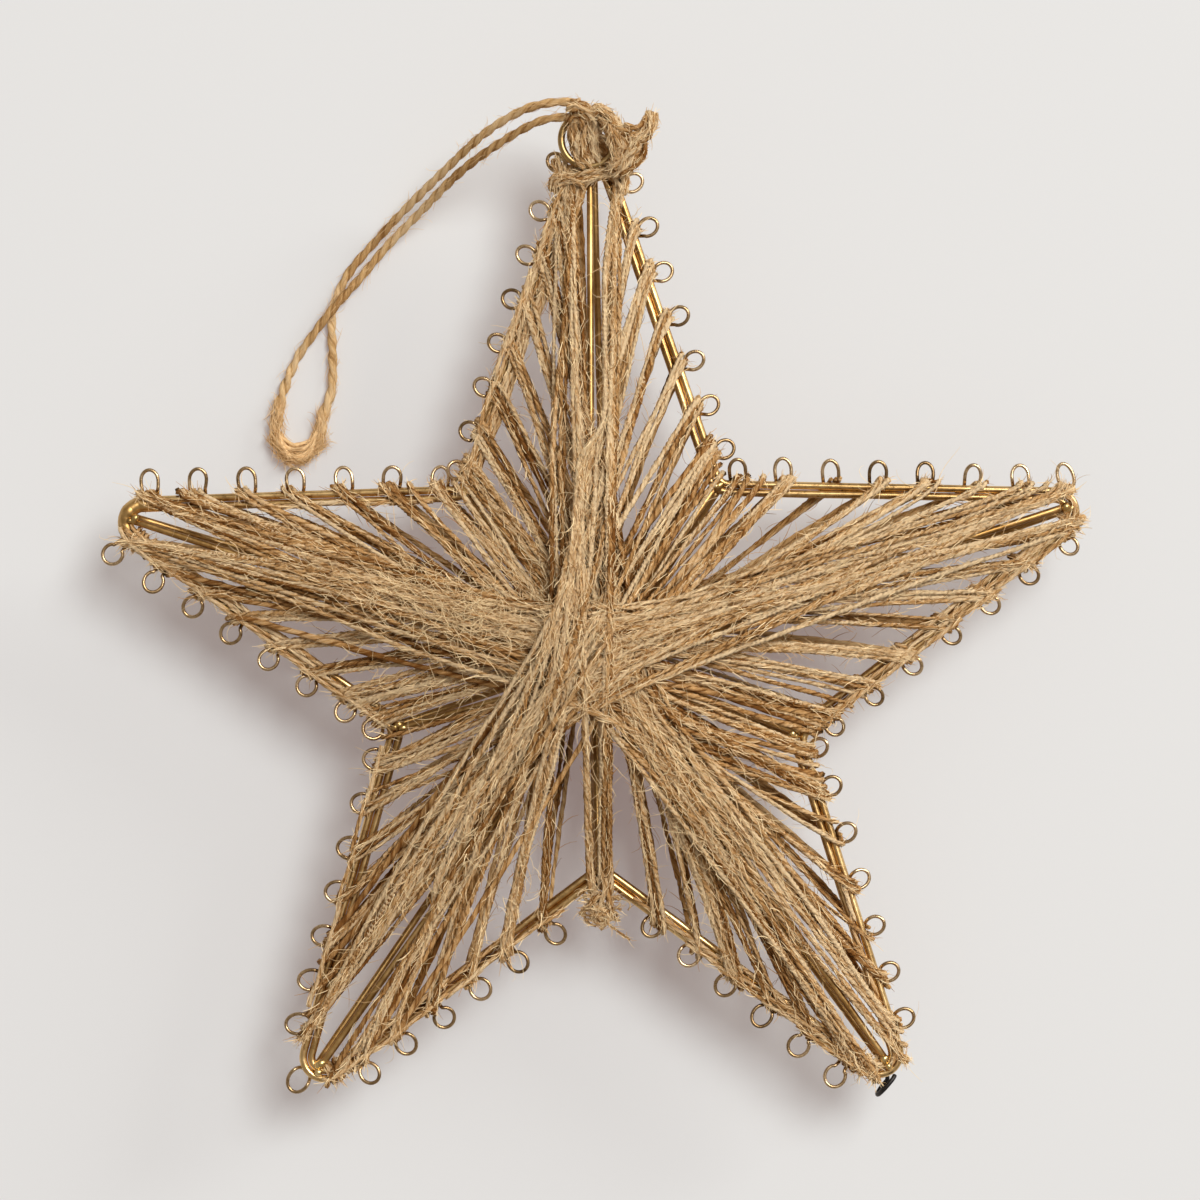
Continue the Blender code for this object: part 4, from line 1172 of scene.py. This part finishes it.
# and at the tips: close turns round the left one, a few at the lower two
for tip, first, last, number, low, high in ((1, 5.0, 8.5, 4, 0.3, 0.8), (2, 3.5, 8.5, 7, 0.1, 0.7), (3, -9.5, -4.0, 8, 0.3, 0.9), (4, -5.2, -3.0, 3, 0.3, 0.8)):
    for k in range(number):
        at = OUTLINE.corner("tip", tip) + first + (last - first) * k / (number - 1) + rng.uniform(-0.3, 0.3)
        r = STRAND_RADIUS * rng.uniform(0.7, 0.95)
        skew = rng.uniform(-0.7, 0.7)
        turn_ = []
        for q in range(15):
            a = math.radians(-110 + 360 * q / 13)
            p, n = OUTLINE.at(at + skew * math.cos(a) + 0.07 * q)
            half = INNER_SHIFT / 2 + ROD_RADIUS + r * 0.95
            turn_.append(up3(p + n * (-INNER_SHIFT / 2 + half * math.cos(a)), (ROD_RADIUS + r) * math.sin(a)))
        turn_ = even(turn_, 0.8)
        along.add(turn_, r, 6, tone=rng.uniform(low, high), pitch=7, phase=rng.uniform(0, 6), seed=k, ply=0.8)

names = {("front", 1): "twine_front_a", ("front", 2): "twine_front_b", ("back", 1): "twine_back"}
replaced = {
    ("front", 1): ["twine_crossing_front", "twine_front_top", "twine_front_left", "twine_front_lower_left"],
    ("front", 2): ["twine_front_lower_right", "twine_front_right"],
    ("back", 1): ["twine_crossing_back"] + [f"twine_back_{a}" for a in ARMS],
}
for key, tube in tubes.items():
    mat = JUTE if key[0] == "front" else JUTE_BACK
    slot = "jute" if key[0] == "front" else "jute_shaded"
    finish_piece(tube.object(names[key], [mat]), slot, *replaced[key])
finish_piece(along.object("twine_along_rods", [JUTE]), "jute")

# --------------------------------------------------------------- the bindings
rng = random.Random(15)


def binding(name, bundles, routes, node):
    tube = Tubes()
    n_ = 0
    for r, number, route in bundles:
        # a thick bundle: strands laid round a heart whose dark tone is painted shade inside the knot
        heart = even(seen(route), 0.5)
        u = np.linspace(0, 1, len(heart))
        length = length_of(heart)
        girth = r * (0.72 + 0.28 * np.sqrt(np.clip(np.sin(math.pi * u) * 1.6, 0, 1))) * (1 + wave(rng, length, 2.5, 0.1)(u))
        tube.add(heart, girth * 0.88, 10, tone=0.25, keep=False, seed=n_)
        tan = np.gradient(heart, axis=0)
        tan /= np.linalg.norm(tan, axis=1)[:, None]
        level = np.cross(tan, np.array((0.0, 0.0, 1.0)))
        level /= np.linalg.norm(level, axis=1)[:, None] + 1e-9
        rise = np.cross(level, tan)
        twist = rng.uniform(0.10, 0.22) * rng.choice((-1, 1))
        for k in range(number):
            ang = 2 * math.pi * k / number + rng.uniform(-0.3, 0.3) + twist * u * length + wave(rng, length, 4, 0.35)(u)
            out = (girth * rng.uniform(0.9, 1.1))[:, None]
            pts = heart + out * (np.cos(ang)[:, None] * level + np.sin(ang)[:, None] * rise)
            stray = np.stack([wave(rng, length * 1.5, 3.0, 0.55)(0.17 + 0.66 * u) for _ in range(3)], -1)
            pts = pts + stray
            fine = min(0.60, r * 0.50)
            tube.add(
                pts, fine * (1 + wave(rng, length, 2.2, 0.2)(u)), 7, tone=rng.uniform(0.1, 0.9) + wave(rng, length, 5, 0.2)(u),
                pitch=6.0, phase=rng.uniform(0, 6.3), seed=n_, ply=0.78,
            )
            n_ += 1
    for r, route in routes:
        pts = even(seen(route), 0.5)
        u = np.linspace(0, 1, len(pts))
        length = length_of(pts)
        pts[:, 2] += wave(rng, length, 3, 0.2)(u)
        thick = r > 0.5
        tube.add(
            pts, r * (1 + wave(rng, length, 2.5, 0.15)(u)), 9 if thick else 6, tone=rng.uniform(0.3, 0.8) + wave(rng, length, 6, 0.25)(u),
            pitch=5.0 if r > 0.9 else 6.5, phase=rng.uniform(0, 6.3), seed=n_, ply=0.68,
        )
        n_ += 1
    finish_piece(tube.object(name, [JUTE]), "jute", node)
    return tube


ring_binding = binding("ring_binding", RING_BUNDLES, RING_BINDING, "ring_knot")
curls = []
for k in range(32):  # the frayed end, curled up
    cx, cy, r0 = rng.uniform(-2.4, 4.4), rng.uniform(-51.4, -46.8), rng.uniform(0.7, 2.0)
    a0, a1, z0 = rng.uniform(0, 6.28), rng.uniform(2.0, 4.6), rng.uniform(-0.4, 2.2)
    arc = []
    for q in range(6):
        a = a0 + a1 * q / 5
        arc.append((cx + r0 * 1.2 * math.cos(a), cy + r0 * 0.8 * math.sin(a), z0 + 0.6 * math.sin(a * 1.3 + k)))
    curls.append((rng.uniform(0.16, 0.42), tuple(arc)))
valley_binding = binding("valley_binding", (), VALLEY_BINDING + tuple(curls), "valley_knot")

# --------------------------------------------------------------------- fuzz
gen = np.random.default_rng(12)
front_lines = tubes[("front", 1)].lines + tubes[("front", 2)].lines


def shagginess(start):
    """How fuzzy the winding is: most on the left arm, in the middle and on the
    two lower arms."""
    x, y = start[:, 0], start[:, 1]
    want = 0.30 + 0.9 * np.exp(-(((x + 32) / 24) ** 2 + ((y - 12) / 14) ** 2))
    want += 0.25 * np.exp(-((x / 18) ** 2 + (y / 18) ** 2))
    want += 0.85 * np.exp(-(((x + 26) / 17) ** 2 + ((y + 40) / 26) ** 2))
    want += 0.6 * np.exp(-(((x - 22) / 15) ** 2 + ((y + 34) / 24) ** 2))
    want += 0.3 * np.exp(-(((x - 40) / 24) ** 2 + ((y - 16) / 12) ** 2))
    want += 0.35 * np.exp(-(((x + 4) / 14) ** 2 + ((y - 45) / 24) ** 2))
    return want


fuzz = Tubes()
path, rad, tone, start = sprout(front_lines, 26400, gen, (1.2, 4.2), (0.05, 0.085), (0.08, 0.75), 0.22, 4, up=0.8)
keep = gen.random(len(start)) < 0.35 + 0.65 * shagginess(start)
fuzz.add_ribbons(path[keep], rad[keep], tone[keep], gen)
path, rad, tone, _ = sprout(along.lines, 2600, gen, (1.0, 3.0), (0.05, 0.08), (0.08, 0.6), 0.25, 4, up=0.5)
fuzz.add_ribbons(path, rad, tone, gen)
turns = [(p[:6], r[:6]) for p, r in front_lines] + [(p[-6:], r[-6:]) for p, r in front_lines]
path, rad, tone, _ = sprout(turns, 3000, gen, (0.8, 2.4), (0.05, 0.08), (0.15, 0.9), 0.3, 4, up=0.3)
fuzz.add_ribbons(path, rad, 0.4 + 0.6 * tone, gen)
finish_piece(fuzz.object("twine_fuzz", [HAIR]), "jute")

# fibres off the back strands, in the shaded hair colour and darker still: painted shade
haze = Tubes()
path, rad, tone, start = sprout(tubes[("back", 1)].lines, 9000, gen, (1.5, 5.0), (0.045, 0.075), (0.1, 0.9), 0.22, 4, up=0.5)
keep = (gen.random(len(start)) < 0.35 + 0.5 * shagginess(start)) & (np.hypot(start[:, 0], start[:, 1]) > 14)
haze.add_ribbons(path[keep], rad[keep], tone[keep] * 0.6, gen)
finish_piece(haze.object("twine_haze", [HAIR_BACK]), "jute_shaded")

strays = Tubes()
path, rad, tone, start = sprout(front_lines, 3600, gen, (3.5, 10.0), (0.045, 0.075), (0.15, 1.1), 0.20, 7, up=0.8)
keep = gen.random(len(start)) < shagginess(start)
strays.add_hairs(path[keep], rad[keep], 0.35 + 0.65 * tone[keep])
# the curliest and palest: over the left arm, and some over the lower two
path, rad, tone, start = sprout(front_lines, 9000, gen, (4.0, 11.0), (0.05, 0.08), (0.3, 1.2), 0.34, 8, up=0.8)
x, y = start[:, 0], start[:, 1]
much = 0.75 * np.exp(-(((x + 31) / 15) ** 2 + ((y - 10) / 10) ** 2))
much += 0.14 * np.exp(-(((x + 26) / 12) ** 2 + ((y + 34) / 16) ** 2))
much += 0.14 * np.exp(-(((x - 20) / 12) ** 2 + ((y + 30) / 16) ** 2))
keep = gen.random(len(start)) < much
strays.add_hairs(path[keep], rad[keep], 0.6 + 0.4 * tone[keep])
knots = ring_binding.lines + valley_binding.lines
path, rad, tone, _ = sprout(knots, 3600, gen, (0.7, 2.4), (0.05, 0.08), (0.1, 0.8), 0.35, 4, up=0.4)
strays.add_ribbons(path, rad, 0.15 + 0.85 * tone, gen)
finish_piece(strays.object("twine_strays", [HAIR]), "jute")

# ----------------------------------------------------------------------- light
world = bpy.data.worlds.new("studio")
world.use_nodes = True
world.node_tree.nodes["Background"].inputs[0].default_value = (1.0, 0.910, 0.825, 1)
world.node_tree.nodes["Background"].inputs[1].default_value = 0.34
bpy.context.scene.world = world
bpy.context.scene.view_settings.view_transform = "Standard"


def area(name, at, aim, size, power, colour):
    light = bpy.data.lights.new(name, "AREA")
    light.shape = "DISK"
    light.size = size
    light.energy = power
    light.color = colour
    obj = bpy.data.objects.new(name, light)
    obj.location = at
    obj.rotation_euler = (Vector(aim) - Vector(at)).to_track_quat("-Z", "Y").to_euler()
    bpy.context.scene.collection.objects.link(obj)
    return obj


area("key", (2.15, 2.20, 5.0), (0, 0, 0.02), 2.7, 275.0, (1.0, 0.985, 0.965))
area("side", (3.7, 2.5, 1.65), (0, 0, 0.02), 1.6, 75.0, (1.0, 0.97, 0.93))

floor_mesh = bpy.data.meshes.new("floor")
floor_mesh.from_pydata([(-3, -3, 0), (3, -3, 0), (3, 3, 0), (-3, 3, 0)], [], [(0, 1, 2, 3)])
floor = bpy.data.objects.new("floor", floor_mesh)
bpy.context.scene.collection.objects.link(floor)
paper = Nodes("floor_paper")
# painted light: the floor glows a faint pink and has a bluish base colour to match, so its shadows come out lighter and
# warmer
paper.shader.inputs["Base Color"].default_value = (0.546, 0.593, 0.601, 1)
paper.shader.inputs["Emission Color"].default_value = (0.19, 0.145, 0.142, 1)
paper.shader.inputs["Emission Strength"].default_value = 1.0
paper.shader.inputs["Roughness"].default_value = 0.9
paper.shader.inputs["Specular IOR Level"].default_value = 0.1
floor_mesh.materials.append(paper.mat)
